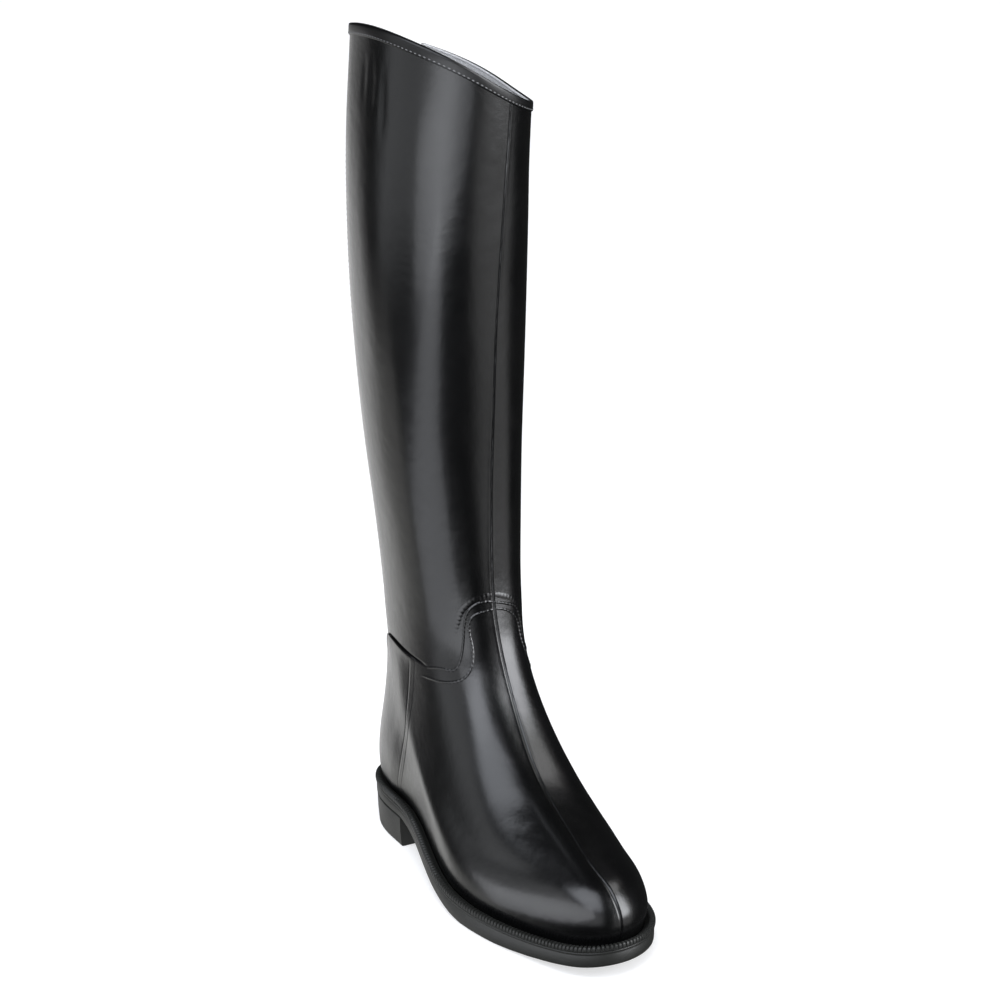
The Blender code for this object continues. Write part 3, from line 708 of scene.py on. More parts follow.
# v of the counter's top, and the place counted from the back
def gapAt(u):
    side = np.abs(np.mod(np.asarray(u, dtype=float) + 0.5, 1.0) - 0.5)
    return curveAt(gapLine, np.minimum(side, gapLine[-1][0])), side


def upperColumns(look):
    half = form["legRound"] / 2
    near, edge = np.array(look["nearSeam"]), np.array(look["nearEdge"])
    middle = np.linspace(near[-1] + 1.6, half - edge[-1] - 1.4, look["columns"])
    distance = np.concatenate([near, middle, half - edge[::-1]])
    outer = 0.5 - distance / form["legRound"]
    return np.concatenate([outer[::-1], 1 - outer[1:]])


def upperRows(look):
    foot = np.linspace(0, 1, look["footRows"])
    steps = look["gapRow"] + np.array(look["gapSteps"])
    foot = np.concatenate([foot[(foot < steps[0] - 0.004) | (foot > steps[-1] + 0.004)], steps])
    leg = np.linspace(1, 2, look["legRows"])[1:]
    low, high = cutEnd["low"], cutEnd["high"]
    leg = leg[(leg < low - 0.003) | (leg > high - 0.04)]
    turn = low + (high - 0.04 - low) * np.linspace(0, 1, 16) ** 2.2
    return np.sort(np.concatenate([[-0.1, -0.05], foot, leg, turn]))


def upperPlaces(columns, rows):
    s, v = np.meshgrid(columns, rows)
    centre, half = cutCentre(v), cutHalf(v)
    u = s + (centre + half) * (1 - ease(s / 0.3)) * (s < 0.3)
    u = u + (centre - half) * (1 - ease((1 - s) / 0.3)) * (s > 0.7)
    u = u + (seamRound(v) - 0.5) * ease(1 - np.abs(s - 0.5) / 0.2)
    line, side = gapAt(u)
    near = ease((v - 0.45) / 0.35) * (1 - ease((v - 0.87) / 0.13)) * (1 - ease((side - 0.33) / 0.06))
    return u, v + (line - upperLook["gapRow"]) * near, s


def creaseRelief(points):
    relief = np.zeros(points.shape[:-1])
    flat = points.reshape(-1, 3)
    for places, width, depth in creases:
        path, run = evenPath(places, 1.5)
        line = surface(path[:, 0], path[:, 1])
        gap = np.linalg.norm(flat[:, None] - line[None], axis=-1)
        nearest = gap.argmin(axis=1)
        fade = np.sin(math.pi * np.clip(run / run[-1], 0.02, 0.98)) ** 0.7
        relief -= (depth * fade[nearest] * bell(gap.min(axis=1) / width)).reshape(relief.shape)
    return relief


def makeUpper(look):
    u, v, s = upperPlaces(upperColumns(look), upperRows(look))
    base = surface(u, v)
    front = np.argmin(np.abs(s[0] - 0.5))
    seamV = v[:, front:front + 1]
    gap = np.linalg.norm(base - surface(seamRound(seamV), seamV), axis=-1)
    gap = np.where(np.abs(s - 0.5) < 0.12, gap, 99.0)
    wander = 0.8 + 0.2 * np.sin(95 * v) * np.sin(61 * v + 1) + 0.12 * np.sin(290 * v)
    relief = -look["grooveDepth"] * wander * bell(gap / look["grooveWidth"])
    relief += look["lip"] * wander * bell((gap - look["lipAt"]) / look["lipWidth"])
    instep = ease((v - 0.3) / 0.25) * (1 - ease((v - 0.95) / 0.12))
    relief += look["ridge"] * instep * np.exp(-gap / look["ridgeWidth"])
    toeU, toeV = [(at - middle) / size for at, middle, size in zip((u, v), look["toeAt"], look["toeSize"])]
    relief += look["toe"] * bell(toeV) * bell(toeU)
    relief += creaseRelief(base)
    line, side = gapAt(u)
    over = (v - line) * np.linalg.norm(surface(u, line + 0.01) - surface(u, line), axis=-1) * 100
    clear = 1 - ease((side - look["gapEnd"]) / look["gapFade"])
    relief -= look["gapDepth"] * clear * bell((over - look["gapAbove"]) / look["gapWidth"])
    edge = np.minimum(s, 1 - s) * form["legRound"]
    above = ease((v - cutEnd["low"]) / 0.004)
    relief -= look["edgeRound"] * above * np.clip(1 - edge / look["edgeRun"], 0, 1) ** 2
    points, faces, inside = closedGrid(skin(u, v, relief), skin(u, v, -form["wall"]))
    walled = np.tile(v[1:, 0] > cutEnd["low"] + 1e-6, 2)
    keep = np.ones(len(faces), dtype=bool)
    keep[-len(walled):] = walled  # no wall where the leg closes on itself below the opening
    faces = [face for face, kept in zip(faces, keep) if kept]
    piece = addPiece("upper_shell", points, faces, [glossRubber, liningCloth], 50, inside[keep])
    layByPlace(piece)
    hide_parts("upper")
    return piece


upperShell = makeUpper(upperLook)
print("upper shell:", len(upperShell.data.polygons), "faces")

# double bead over the instep, running back to the counter on both sides
beadLook = {
    "pitch": 2.6, "ripple": 0.18, "spacing": 0.45, "sunk": 1.1, "set": 0.05,
    "cutWidth": 0.8, "cutDepth": 0.7,  # where the front seam crosses
    "offsets": [-1.15, -0.9, -0.6, -0.3, 0, 0.3, 0.6, 0.9, 1.15],
    "heights": [-0.05, 0.09, 0.4, 0.64, 0.72, 0.64, 0.4, 0.09, -0.05],
    "strength": [(0, 0.15), (0.05, 0.6), (0.25, 0.75), (0.33, 1), (0.67, 1), (0.75, 0.75), (0.95, 0.6), (1, 0.15)],
}
softLook = dict(
    beadLook,
    offsets=[-2.8, -2.1, -1.4, -0.7, 0, 0.7, 1.4, 2.1, 2.8],
    heights=[-0.05, 0.03, 0.16, 0.28, 0.32, 0.28, 0.16, 0.03, -0.05],
    strength=[(0, 0.05), (0.15, 0.9), (0.5, 1), (0.85, 0.9), (1, 0.05)],
)
beadOuter = [
    (0.3169, 0.856), (0.3375, 0.866), (0.3563, 0.8715), (0.3738, 0.875), (0.3855, 0.883), (0.395, 0.8978),
    (0.405, 0.922), (0.4131, 0.956), (0.4188, 0.991), (0.4285, 1.0164), (0.4481, 1.0307), (0.47, 1.036),
    (0.495, 1.035), (0.5288, 1.0293), (0.5556, 1.0222), (0.5769, 1.0122), (0.5915, 0.9895), (0.6, 0.96),
    (0.6085, 0.93), (0.62, 0.905), (0.637, 0.884), (0.66, 0.873), (0.685, 0.864), (0.7, 0.857),
]
beadInner = [
    (0.2981, 0.8263), (0.32, 0.8335), (0.3406, 0.8385), (0.3625, 0.846), (0.3831, 0.856), (0.4, 0.8675),
    (0.4156, 0.884), (0.4263, 0.905), (0.432, 0.936), (0.4292, 0.966), (0.4305, 0.995), (0.4425, 1.0107),
    (0.4606, 1.0164), (0.4825, 1.0193), (0.5169, 1.0193), (0.5537, 1.0079), (0.581, 0.9793), (0.5938, 0.9335),
    (0.6125, 0.886), (0.629, 0.853), (0.65, 0.8405), (0.675, 0.836), (0.705, 0.828),
]
beadSoft = [
    (0.392, 0.95), (0.4, 0.987), (0.4108, 1.013), (0.4283, 1.03), (0.4575, 1.043), (0.4867, 1.047),
    (0.5183, 1.045), (0.5575, 1.034), (0.585, 1.018), (0.603, 0.99), (0.612, 0.955),
]

beads = {
    "instep_bead_outer": (beadOuter, beadLook),
    "instep_bead_inner": (beadInner, beadLook),
    "instep_bead_soft": (beadSoft, softLook),
}
for beadName, (beadPath, beadShape) in beads.items():
    bead = moulding(beadName, beadPath, beadShape)
print("instep beads laid")

# heel counter with a raised lip, a seam allowance line at its sides and a short back seam
counterLook = {
    "reach": 80.0,  # sideways run of half the counter, mm
    "tall": 92.0,
    "sideSteps": [0, 0.2, 0.45, 0.8, 1.4, 2.4, 3.6, 4.1, 4.4, 4.6, 4.8, 5.1, 5.8],
    "backSteps": [0, 0.3, 0.6, 1.0, 1.8],
    "topSteps": [0, 0.2, 0.45, 0.8, 1.3, 2.0, 3.0, 4.2],
    "thick": 0.8,
    "lip": 0.35,
    "lipRun": 3.5,
    "lipGap": 0.45,
    "edge": 0.14,
    "sideRun": 16.0,
    "roundDown": 0.35,
    "roundRun": 0.7,
    "allowance": 4.6,
    "line": 0.16,
    "lineWidth": 0.35,
    "backSeam": 34.0,
    "seamDepth": 0.7,
    "seamWidth": 0.55,
    "seamFaint": 0.22,  # its strength further down
    "seamLip": 0.12,
    "seamLipAt": 1.4,
    "bed": 0.3,  # how far it is let into the upper
    "foot": 0.015,
    "crest": 0.85,
}
counterSide = [(0.0, 0.115), (0.17, 0.127), (0.42, 0.165), (0.55, 0.205), (0.75, 0.262), (0.9, 0.29)]  # v, u


def counterEdge(v):
    return curveAt(counterSide, v)


def makeCounter(look):
    reach, tall = look["reach"], look["tall"]
    backSteps = reach - np.array(look["backSteps"])[::-1]
    half = np.concatenate([look["sideSteps"], np.linspace(7.2, reach - 3.4, 40), backSteps])
    share = 1 - half / reach
    share = np.concatenate([-share, share[-2::-1]])
    levels = 1 - np.concatenate([look["topSteps"], np.linspace(6, tall - 1.5, 46), [tall - 0.6, tall]])[::-1] / tall
    crest = gapAt(share * counterEdge(look["crest"]))[0]
    v = look["foot"] + (crest[None] - look["foot"]) * levels[:, None]
    u = share[None] * counterEdge(v)
    place = surface(u, v)
    side = (1 - np.abs(share))[None] * reach * np.ones_like(v)
    below = (1 - levels)[:, None] * tall * np.ones_like(v)
    lift = look["edge"] * ease(side / 0.5) + (look["thick"] - look["edge"]) * ease(side / look["sideRun"])
    lift = lift + look["lip"] * ease(1 - below / look["lipRun"]) * ease(side / 4)
    lift = lift - look["roundDown"] * np.clip(1 - below / look["roundRun"], 0, 1) ** 2
    line = bell((side - look["allowance"]) / look["lineWidth"])
    lift = lift - look["line"] * line * ease((below - 1.5) / 2)
    middle = len(share) // 2
    back = np.linalg.norm(place - place[:, middle:middle + 1], axis=-1)
    back = np.where(np.abs(share)[None] < 0.1, back, 99.0)
    run = look["seamFaint"] + (1 - look["seamFaint"]) * ease((look["backSeam"] - below) / 6)
    lift = lift - look["seamDepth"] * run * bell(back / look["seamWidth"])
    lift = lift + look["seamLip"] * run * bell((back - look["seamLipAt"]) / 0.7)
    under = -look["bed"] + (look["lipGap"] + look["bed"]) * ease(1 - below / 2.6) * ease((side - 1) / 8)
    inner = skin(u, v, np.minimum(under, lift - 0.25))
    piece = addShell("heel_counter", skin(u, v, lift), inner, [glossRubber], 55)
    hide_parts("counter")
    return piece


heelCounter = makeCounter(counterLook)
print("heel counter:", len(heelCounter.data.polygons), "faces")

# spur rest: a plain shield with a flat ledge
restLook = {
    "rows": [  # height, half width, how far it stands out
        (92.8, 0.5, 0.5), (94.5, 2.2, 1.0), (97.5, 4.0, 1.7), (103.0, 6.0, 2.5), (107.0, 6.5, 3.2),
        (110.0, 6.5, 3.9),
    ],
    "base": 0.75,
    "bed": 0.3,
    "crease": 0.2,
    "creaseWidth": 0.6,
}


def makeSpurRest(look):
    heights, halves, stands = [tableColumn(look["rows"], k) for k in range(3)]
    fine = np.linspace(heights[0], heights[-1], 30)
    across = np.sin(np.linspace(-1, 1, 25) * math.pi / 2)
    wide = np.interp(fine, heights, halves)[:, None] * across[None]
    stand = smooth(heights, stands, fine)
    u = np.mod(wide / form["ankleRound"], 1.0)
    v = riseAt(u, np.repeat(fine[:, None], len(across), axis=1))
    dome = (1 - across**4)[None] ** 0.5 * (1 - 0.18 * across[None] ** 2)
    edge = np.sqrt(np.clip((fine - fine[0]) / 2.5, 0, 1))[:, None]
    ledge = 1 - 0.15 * np.clip(1 - (fine[-1] - fine) / 0.8, 0, 1)[:, None] ** 2
    crease = 1 - look["crease"] * bell(wide / look["creaseWidth"])
    outer = skin(u, v, look["base"] + stand[:, None] * dome * edge * ledge * crease)
    piece = addShell("spur_ledge", outer, skin(u, v, look["bed"]), [glossRubber], 50)
    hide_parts("spur_rest")


makeSpurRest(restLook)

# back strip between counter and elastic
stayLook = {
    "thick": 1.1,
    "round": 0.7,
    "stitchIn": 1.7,
    "stitchDip": 0.22,
    "stitchWidth": 0.6,
    "tuck": 3.9,  # its end's distance from the elastic's edge, which it follows
    "tuckFrom": 1.34,
    "bed": 0.3,
    "steps": [0, 0.2, 0.5, 0.9, 1.5, 2.4, 3.6, 5.0, 6.6],
}
stayLine = [  # v, centre, half width
    (0.768, 0.003, 0.0365), (0.86, 0.004, 0.036), (0.93, 0.006, 0.036), (1.0, 0.007, 0.036),
    (1.08, 0.007, 0.0355), (1.17, 0.007, 0.0345), (1.27, 0.006, 0.032), (1.37, 0.005, 0.0295),
    (1.424, 0.004, 0.028),
]


def stayPlaces(v):
    return [curveAt(stayLine, v, k) for k in (1, 2)]


def makeBackstay(look):
    v = np.linspace(stayLine[0][0], stayLine[-1][0], 130)
    centre, half = stayPlaces(v)
    wide = half[:, None] * form["ankleRound"]
    inset = np.minimum(np.array(look["steps"])[None], wide * 0.98)
    left = -1 + inset / wide
    share = np.concatenate([left, np.zeros((len(v), 1)), -left[:, ::-1]], axis=1)
    u = centre[:, None] + half[:, None] * share
    edge = np.concatenate([inset, wide, inset[:, ::-1]], axis=1)
    lift = look["thick"] * np.sqrt(np.clip(1 - np.clip(1 - edge / look["round"], 0, 1) ** 2, 0, 1))
    lift = lift - look["stitchDip"] * bell((edge - look["stitchIn"]) / look["stitchWidth"])
    bend = ease((v[:, None] - look["tuckFrom"]) / (v[-1] - look["tuckFrom"]))
    rows = v[:, None] + (cutEdge(u) - look["tuck"] / form["legRun"] - v[-1]) * bend
    piece = addShell("back_strip", skin(u, rows, lift), skin(u, rows, -look["bed"]), [glossRubber], 55)
    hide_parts("backstay")


makeBackstay(stayLook)
print("back strip and spur rest laid")

# collar tape folded over the top edge, open at the elastic
tapeShape = {
    "profile": [  # height from the collar line, lift
        (-5.7, 0.05), (-5.7, 0.45), (-5.5, 0.7), (-5.05, 0.8), (-3.0, 0.85), (-0.9, 0.85), (0.15, 0.7),
        (0.45, 0.3), (0.55, -0.4), (0.55, -1.6), (0.4, -2.15), (0.1, -2.4), (-0.3, -2.5), (-0.6, -2.45),
        (-0.7, -2.3), (-0.7, -1.8),
    ],
    "lined": [9, 10, 11, 12, 13, 14, 15],  # profile points of the cloth side
    "start": 0.003,
    "stations": 300,
    "pull": 0.12,  # ripple of the lower edge
    "pullPitch": 3.1,
}


def makeTape(look):
    centre, half = cutLine[-1][1], cutLine[-1][2] + look["start"]
    turn = np.linspace(centre + half, centre + 1 - half, look["stations"])
    pull = look["pull"] * np.sin(turn * form["legRound"] / look["pullPitch"] * 2 * math.pi)
    outward = facing(turn, 2.0)
    loops = []
    for height, lift in look["profile"]:
        low = 1.0 if height < -5 else 0.0
        loops.append(surface(turn, 2.0 + (height + low * pull) / form["legRun"]) + outward * lift)
    points, faces = loftLoops(np.stack(loops, axis=1))
    lined = [np.isin(np.mod(face, len(loops)), look["lined"]).all() for face in faces[:-2]]
    piece = addPiece("collar_tape", points, faces, [tapeRubber, liningCloth], 60, lined + [False, False])
    layByPlace(piece)
    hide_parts("binding")
    return turn


tapeTurn = makeTape(tapeShape)

# elastic panel behind the opening
elasticShape = {
    "margin": 7.0,
    "outer": -2.45,
    "thick": 1.5,
    "topGap": 1.3,
    "hem": 3.2,
    "hemLift": 0.35,
    "hemFade": 0.0025,
    "power": 2.6,
    "columns": 44,
    "rows": 110,
    "endRows": 24,
}


def makeElastic(look):
    margin = look["margin"] / form["legRound"]
    low = cutEnd["low"] - look["margin"] / form["legRun"]
    high = 2.0 - look["topGap"] / form["legRun"]
    end = low + (cutEnd["high"] - low) * np.linspace(0, 1, look["endRows"]) ** 1.8
    rows = np.concatenate([end, np.linspace(cutEnd["high"], high, look["rows"])[1:]])
    drop = np.clip((cutEnd["high"] - rows) / (cutEnd["high"] - low), 0, 1)
    wide = np.maximum(1 - drop ** look["power"], 0.02) ** (1 / look["power"])
    wide = (tableAt(cutLine, rows, 2) + margin) * wide
    across = np.linspace(-1, 1, look["columns"])
    u = tableAt(cutLine, rows)[:, None] + wide[:, None] * across[None]
    v = np.repeat(rows[:, None], look["columns"], axis=1)
    hem = ease((v - (high - look["hem"] / form["legRun"])) / look["hemFade"])
    outer = skin(u, v, look["outer"] + look["hemLift"] * hem)
    inner = skin(u, v, look["outer"] - look["thick"])
    piece = addShell("elastic_panel", outer, inner, [elasticCloth, liningCloth], 60)
    flat = np.stack([u * form["legRound"], v * form["legRun"], np.zeros_like(u)], axis=-1).reshape(-1, 3) * 0.001
    layCloth(piece, np.concatenate([flat, flat]))
    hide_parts("gusset")
    heights = np.linalg.norm(np.diff(outer[:, look["columns"] // 2], axis=0), axis=-1)


makeElastic(elasticShape)

# stitching: round the elastic, down the back strip and across its foot, along the tape, on the counter's sides
stitchLook = {
    "elastic": {"pitch": 3.4, "length": 2.5, "radius": 0.36, "lift": 0.12, "beside": 2.9, "top": 1.968},
    "strip": {"pitch": 3.2, "length": 2.3, "radius": 0.34, "lift": 1.0},
    "tape": {"pitch": 2.9, "length": 2.3, "radius": 0.38, "lift": 0.8, "height": -4.6},
    "counter": {"pitch": 2.8, "length": 1.9, "radius": 0.26, "lift": 0.14, "inset": 2.3, "from": 0.08, "to": 0.83},
    "cross": {"pitch": 9.0, "length": 4.4, "radius": 0.36, "lift": 1.15, "half": 0.031, "low": 0.738, "rise": 0.026},
    "bar": {"pitch": 2.6, "length": 2.0, "radius": 0.34, "lift": 1.1, "half": 0.034, "height": 0.774},
}


def elasticStitchPath(look):
    a = look["beside"] / form["legRound"]
    b = look["beside"] / form["legRun"]
    sideV = np.linspace(look["top"], cutEnd["high"], 40)
    centre, half = tableAt(cutLine, sideV), tableAt(cutLine, sideV, 2) + a
    turn = np.linspace(0, math.pi, 60)[1:-1]
    power = 2 / cutEnd["power"]
    roundU = np.sign(np.cos(turn)) * np.abs(np.cos(turn)) ** power * half[-1] + centre[-1]
    roundV = cutEnd["high"] - np.sin(turn) ** power * (cutEnd["high"] - cutEnd["low"] + b)
    right = list(zip(centre + half, sideV))
    left = list(zip((centre - half)[::-1], sideV[::-1]))
    return right + list(zip(roundU, roundV)) + left


def makeStitches(look):
    row = stitchRow("elastic_stitches", [elasticStitchPath(look["elastic"])], look["elastic"], threadWithPaintedGlint)
    v = np.linspace(stayLine[0][0] + 0.012, stayLine[-1][0] - 0.004, 40)
    centre, half = stayPlaces(v)
    inset = stayLook["stitchIn"] / form["ankleRound"]
    lines = [list(zip(centre + side * (half - inset), v)) for side in (1, -1)]
    row = stitchRow("strip_stitches", lines, look["strip"], threadWithPaintedGlint)
    tapeV = 2.0 + look["tape"]["height"] / form["legRun"]
    row = stitchRow("tape_stitches", [[(t, tapeV) for t in tapeTurn[3:-3:4]]], look["tape"], threadWithPaintedGlint)
    seam = look["counter"]
    v = np.linspace(seam["from"], seam["to"], 30)
    sides = [list(zip(side * (counterEdge(v) - seam["inset"] / form["footRound"]), v)) for side in (1, -1)]
    row = stitchRow("counter_stitches", sides, seam, glossRubber)
    cross, bar = look["cross"], look["bar"]
    middle = stayLine[0][1]
    turns = middle + np.linspace(-cross["half"], cross["half"], 8)
    zigzag = np.array([(x, cross["low"] + cross["rise"] * (k % 2)) for k, x in enumerate(turns)])
    crossPaths = [[a, (a + b) / 2, b] for a, b in zip(zigzag[:-1], zigzag[1:])]
    row = stitchRow("strip_cross_stitches", crossPaths, cross, threadWithPaintedGlint)
    barPath = [(middle + x, bar["height"]) for x in np.linspace(-bar["half"], bar["half"], 7)]
    row = stitchRow("strip_bar_stitches", [barPath], bar, threadWithPaintedGlint)


makeStitches(stitchLook)
print("stitching done")

# welt: a dark channel beside the upper and a wheeled ridge at the rim, worn smooth round the heel
weltLook = {
    "rim": 5.0,
    "pitch": 2.45,
    "steps": 8,
    "notch": 1.1,
    "pull": 0.85,
    "worn": 0.3,  # share of a notch left at the heel
    "wornEnd": 0.07,
    "wornFade": 0.08,
    "profile": [  # reach past the sole line, height, how much a notch cuts it
        (0.3, -3.0, 0), (0.3, -1.9, 0), (1.3, -1.6, 0), (2.1, -1.0, 0.2), (2.7, -0.1, 0.8), (3.4, 0.45, 1),
        (4.5, 0.6, 1), (5.6, 0.45, 1), (6.2, 0.0, 1), (6.4, -0.8, 0.95), (6.45, -1.7, 0.85), (6.4, -2.3, 0.3),
        (6.25, -2.6, 0), (5.9, -3.0, 0),
    ],
}


def evenRim(count, grow):
    fine = np.linspace(0, 1, 4001)
    run = pathRun(rim(fine, grow))
    return np.interp(np.linspace(0, run[-1], count, endpoint=False), run, fine), run[-1]


def makeWelt(look):
    _, length = evenRim(10, look["rim"])
    teeth = int(round(length / look["pitch"]))
    turn, _ = evenRim(teeth * look["steps"], look["rim"])
    phase = np.arange(len(turn)) % look["steps"] / look["steps"]
    fresh = ease((np.minimum(turn, 1 - turn) - look["wornEnd"]) / look["wornFade"])
    notch = np.clip(1.5 * np.cos(2 * math.pi * phase) - 0.2, 0, 1)
    notch = notch * (look["worn"] + (1 - look["worn"]) * fresh)
    loops = []
    for grow, height, share in look["profile"]:
        place = rim(turn, grow - share * notch * look["pull"] * (grow > look["rim"]))
        z = soleTop(place[:, 0]) + height - share * notch * look["notch"]
        loops.append(np.concatenate([place, z[:, None]], axis=1))
    points, faces = loftLoops(np.stack(loops, axis=1), ring=True)
    piece = addPiece("wheeled_welt", points, faces, [soleRubber], 65)
    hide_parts("welt")
    print("welt teeth:", teeth)


makeWelt(weltLook)


# pieces of sole: sections from the outer rim across to the inner rim. sides: reach, base and offset from it;
# heightOf gives a side point's height, under the height between the rims at a distance from the nearer one
def soleSections(turn, look, heightOf, under):
    def sideRow(turn, grow, base, offset):
        place = rim(turn, grow)
        return np.concatenate([place, heightOf(place[:, 0], base, offset)[:, None]], axis=1)

    left = [sideRow(turn, *row) for row in look["sides"]]
    right = [sideRow(1 - turn, *row) for row in look["sides"]]
    width = np.abs(left[-1][:, 1] - right[-1][:, 1])
    low = []
    for share in np.linspace(0, 1, look["across"] + 2)[1:-1]:
        place = left[-1] * (1 - share) + right[-1] * share
        place[:, 2] = under(place[:, 0], min(share, 1 - share) * width)
        low.append(place)
    top = [left[0] * (1 - share) + right[0] * share for share in (0.8, 0.5, 0.2)]
    return np.stack(left + low + right[::-1] + top, axis=1)


# cross grooves that stop short of the rim
tread = {"width": 3.0, "depth": 1.3, "margin": 9.0, "slope": 0.5}


def grooveDepth(along, edge, grooves):
    reach = tread["width"] / 2 + tread["slope"] / 2
    deep = np.max([ease((reach - np.abs(along - at)) / tread["slope"]) for at in grooves], axis=0)
    return tread["depth"] * deep * ease(edge - tread["margin"])


outsoleLook = {
    "sides": [  # reach, top or bottom, offset from it
        (4.4, "top", 0.0), (5.45, "top", 0.0), (5.85, "top", -0.3), (5.95, "top", -0.7), (5.9, "top", -1.2),
        (5.55, "top", -1.55), (5.5, "top", -1.9), (5.7, "top", -2.3), (5.72, "bottom", 3.2),
        (5.65, "bottom", 1.6), (5.4, "bottom", 0.7), (4.95, "bottom", 0.2), (4.3, "bottom", 0.0),
    ],
    "grooves": [150.0, 160.0, 170.0, 180.0, 190.0, 200.0, 210.0, 220.0],
    "stations": 420,
    "across": 40,
}
heelLook = {
    "sides": [
        (4.2, "top", 0.0), (4.9, "top", 0.0), (5.2, "top", -0.35), (5.28, "top", -1.0), (4.95, "bottom", 10.0),
        (4.2, "bottom", 1.4), (3.95, "bottom", 0.6), (3.5, "bottom", 0.15), (2.9, "bottom", 0.0),
    ],
    "top": 19.8,
    "breast": 59.5,
    "grooves": [20.0, 30.0, 40.0, 50.0],
    "stations": 150,
    "across": 40,
}


def makeOutsole(look):
    def heightOf(along, base, offset):
        top = soleTop(along) - form["skirt"] - 0.05
        return (top if base == "top" else soleUnder(along)) + offset

    def under(along, edge):
        return soleUnder(along) + grooveDepth(along, edge, look["grooves"])

    loops = soleSections(np.linspace(0, 0.5, look["stations"]), look, heightOf, under)
    points, faces = loftLoops(loops, caps=False)
    piece = addPiece("through_sole", points, faces, [soleRubber], 50)
    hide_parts("outsole")


def makeHeel(look):
    def heightOf(along, base, offset):
        return np.full(along.shape, (look["top"] if base == "top" else 0.0) + offset)

    def under(along, edge):
        return grooveDepth(along, edge, look["grooves"])

    fine = np.linspace(0, 0.3, 2001)
    last = np.interp(look["breast"], rim(fine, 4.5)[:, 0], fine)
    loops = soleSections(last * np.linspace(0, 1, look["stations"]), look, heightOf, under)
    loops[-1, :, 0] = look["breast"]
    points, faces = loftLoops(loops, caps=False)
    count, corners, _ = loops.shape
    faces.append([(count - 1) * corners + k for k in reversed(range(corners))])
    piece = addPiece("heel_block", points, faces, [soleRubber], 50)
    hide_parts("heel")


makeOutsole(outsoleLook)
makeHeel(heelLook)
print("sole and heel ready")

# footbed with a soft cupped edge
footbedShape = {
    "sides": [(-3.3, "low", 0.0), (-2.95, "low", 0.5), (-2.9, "low", 3.2), (-3.2, "low", 3.9), (-4.0, "low", 4.1)],
    "thick": 3.0,
    "cup": 1.1,
    "cupRun": 12.0,
    "stations": 200,
    "across": 30,
}


def makeFootbed(look):
    def heightOf(along, base, offset):
        return soleTop(along) - form["skirt"] + offset

    def over(along, edge):
        return soleTop(along) - form["skirt"] + look["thick"] + look["cup"] * (1 - ease(edge / look["cupRun"]))

    loops = soleSections(np.linspace(0, 0.5, look["stations"]), look, heightOf, over)
    points, faces = loftLoops(loops, caps=False)
    piece = addPiece("footbed", points, faces, [footbedCloth], 60)
    layCloth(piece, pointsOf(piece))
    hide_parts("insole")


makeFootbed(footbedShape)
print("footbed laid")

# floor, light and camera
stageLook = {"floor": 14.0, "drop": 0.0003, "tone": (0.5, 0.5, 0.502), "rough": 0.6, "specular": 0.2, "glow": 0.58}


def makeFloor(look):
    size, low = look["floor"], -look["drop"]
    mesh = bpy.data.meshes.new("floor")
    corners = [(-size, -size, low), (size, -size, low), (size, size, low), (-size, size, low)]
    mesh.from_pydata(corners, [], [(0, 1, 2, 3)])
    floor = addObject("floor", mesh)
    paint, _, shader = nodeTree("paleFloor")
    fill(shader, {
        "Base Color": look["tone"] + (1,), "Roughness": look["rough"], "Specular IOR Level": look["specular"],
        "Emission Color": (1, 1, 1, 1), "Emission Strength": look["glow"],
    })
    mesh.materials.append(paint)
    floor.visible_glossy = False  # the boot mirrors the light panels below the horizon too
    floor.visible_shadow = False


plainPanel = {"soft": (16, 14), "colour": (1.0, 1.0, 1.0)}
panels = {  # turn from the camera's side and height above the horizon in degrees, soft edges, colour, level
    "key": {"turn": (-82, 16), "height": (27, 77), "soft": (18, 16), "colour": (0.94, 0.98, 1.06), "level": 2.7},
    "front": {"turn": (-100, 14), "height": (-15, 20), "soft": (16, 12), "colour": (0.97, 0.995, 1.03), "level": 0.75},
    "left": {"turn": (-146, -94), "height": (-48, -22), "soft": (18, 14), "colour": (1.01, 1.01, 0.98), "level": 0.6},
    "rim": {"turn": (-174, -125), "height": (-26, -7), "level": 0.95},
    "right": {"turn": (57, 91), "height": (-4, 45), "colour": (0.97, 0.99, 1.03), "level": 7.4},
    "rightTop": {"turn": (77, 132), "height": (44, 59), "level": 2.7},
    "rightLow": {"turn": (47, 97), "height": (-32, 10), "soft": (16, 12), "level": 0.6},
}
plainBox = {"tilt": 0.0, "roll": 0.0, "spread": 180.0, "mirrored": True}
boxes = {  # near soft boxes: turn, distance, height, wide and tall, level; only mirrored ones show on the rubber
    "frontBox": {
        "turn": -6.0, "away": 0.343, "height": 0.386, "size": (0.55, 0.22), "level": 0.95,
        "roll": 15.6, "spread": 120.0,
    },
    "lowBox": {"turn": -45.0, "away": 0.417, "height": 0.018, "size": (0.86, 0.2), "level": 1.55, "roll": 25.7},
    "backBox": {"turn": 208.6, "away": 0.45, "height": 0.32, "size": (0.4, 0.7), "level": 1.9, "mirrored": False},
    "topBox": {
        "turn": 0.0, "away": 0.8, "height": 0.47, "size": (0.4, 0.4), "level": 8.0,
        "tilt": 42.0, "mirrored": False,
    },
}
studio = {
    "rest": 0.02,
    "white": (1.0, 1.0, 1.0),
    "boxColour": (0.96, 0.985, 1.04),
    "boxesRound": 0.05,  # y of the upright line that the boxes stand round
}
view = {
    "azimuth": 28.582,
    "elevation": 18.39,
    "distance": 1.50983,
    "lens": 93.585,
    "sensor": 36.0,
    "target": (0.014974, 0.029909, 0.229379),
}


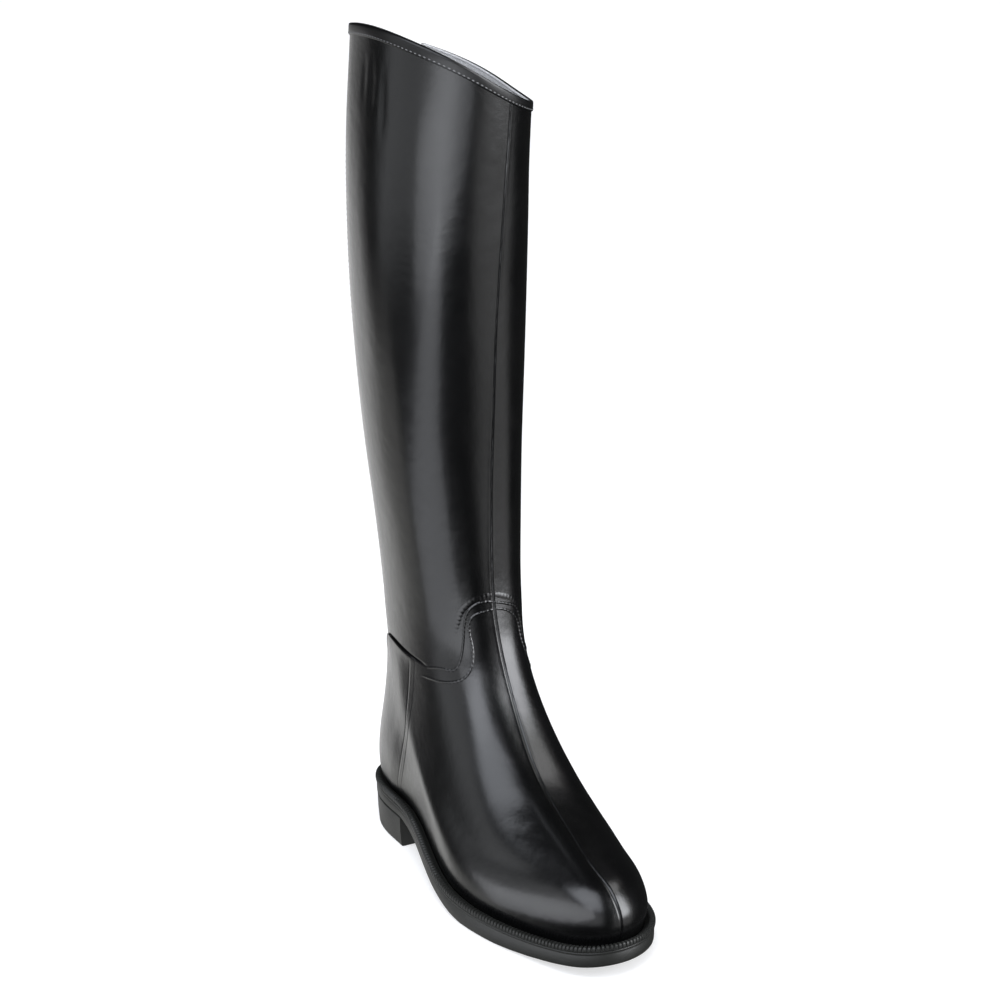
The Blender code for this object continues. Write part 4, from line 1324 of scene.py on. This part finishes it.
# one soft-edged window: 1 inside the limits, 0 outside
def window(tree, value, limits, soft, wraps):
    middle, half = (limits[0] + limits[1]) / 2, (limits[1] - limits[0]) / 2
    away = mathNode(tree, "SUBTRACT", value, middle)
    if wraps:
        away = mathNode(tree, "WRAP", away, 180.0, -180.0)
    away = mathNode(tree, "ABSOLUTE", away)
    edge = {"From Min": half + soft / 2, "From Max": half - soft / 2}
    node = addNode(tree, "ShaderNodeMapRange", edge, interpolation_type="SMOOTHSTEP")
    tree.links.new(away, node.inputs["Value"])
    return node.outputs["Result"]


def makeWorld(table, look):
    world = bpy.data.worlds.new("studio")
    world.use_nodes = True
    tree = world.node_tree
    a = math.radians(view["azimuth"])
    place = addNode(tree, "ShaderNodeTexCoord")
    sides = []
    for axis in ((math.cos(a), -math.sin(a), 0), (-math.sin(a), -math.cos(a), 0)):
        dot = addNode(tree, "ShaderNodeVectorMath", {1: axis}, operation="DOT_PRODUCT")
        wire(tree, place, "Generated", dot, 0)
        sides.append(dot.outputs["Value"])
    split = addNode(tree, "ShaderNodeSeparateXYZ")
    wire(tree, place, "Generated", split, "Vector")
    turn = mathNode(tree, "DEGREES", mathNode(tree, "ARCTAN2", *sides))
    height = mathNode(tree, "DEGREES", mathNode(tree, "ARCSINE", split.outputs["Z"]))
    total = None
    for given in table.values():
        panel = {**plainPanel, **given}
        across = window(tree, turn, panel["turn"], panel["soft"][0], True)
        upright = window(tree, height, panel["height"], panel["soft"][1], False)
        lit = mathNode(tree, "MULTIPLY", across, upright)
        tint = addNode(tree, "ShaderNodeVectorMath", {0: panel["colour"]}, operation="SCALE")
        tree.links.new(mathNode(tree, "MULTIPLY", lit, panel["level"]), tint.inputs["Scale"])
        added = addNode(tree, "ShaderNodeVectorMath", {0: (look["rest"],) * 3}, operation="ADD")
        if total is not None:
            tree.links.new(total, added.inputs[0])
        wire(tree, tint, "Vector", added, 1)
        total = added.outputs["Vector"]
    path = addNode(tree, "ShaderNodeLightPath")
    shown = addNode(tree, "ShaderNodeMix", {7: look["white"] + (1,)}, data_type="RGBA")
    wire(tree, path, "Is Camera Ray", shown, 0)
    tree.links.new(total, shown.inputs[6])
    wire(tree, shown, 2, tree.nodes["Background"], "Color")
    bpy.context.scene.world = world


def makeBoxes(table, look):
    up = Vector((0, 0, 1))
    for name, given in table.items():
        box = {**plainBox, **given}
        turn = math.radians(view["azimuth"]) - math.radians(box["turn"])
        tilt, roll = math.radians(box["tilt"]), math.radians(box["roll"])
        back = Vector((-math.sin(turn), -math.cos(turn), 0))
        side = up.cross(back)
        rise = up * math.cos(tilt) - back * math.sin(tilt)
        back = back * math.cos(tilt) + up * math.sin(tilt)
        data = bpy.data.lights.new(name, "AREA")
        data.shape = "RECTANGLE"
        data.size, data.size_y = box["size"]
        data.color = look["boxColour"]
        data.spread = math.radians(box["spread"])
        data.energy = box["level"] * math.pi * data.size * data.size_y
        lamp = addObject(name, data)
        wide = side * math.cos(roll) + rise * math.sin(roll)
        tall = rise * math.cos(roll) - side * math.sin(roll)
        lamp.matrix_world = Matrix((wide, tall, back)).transposed().to_4x4()
        lamp.location = Vector((0, look["boxesRound"], box["height"])) + back * box["away"]
        lamp.visible_camera = False
        lamp.visible_glossy = box["mirrored"]


def makeCamera(look):
    data = bpy.data.cameras.new("camera")
    data.lens = look["lens"]
    data.sensor_width = look["sensor"]
    camera = addObject("camera", data)
    a, e = math.radians(look["azimuth"]), math.radians(look["elevation"])
    back = Vector((-math.sin(a) * math.cos(e), -math.cos(a) * math.cos(e), math.sin(e)))
    camera.location = Vector(look["target"]) + back * look["distance"]
    camera.rotation_euler = (-back).to_track_quat("-Z", "Y").to_euler()
    bpy.context.scene.camera = camera


makeFloor(stageLook)
makeWorld(panels, studio)
makeBoxes(boxes, studio)
makeCamera(view)
bpy.context.scene.view_settings.view_transform = "Standard"
print("stage ready")
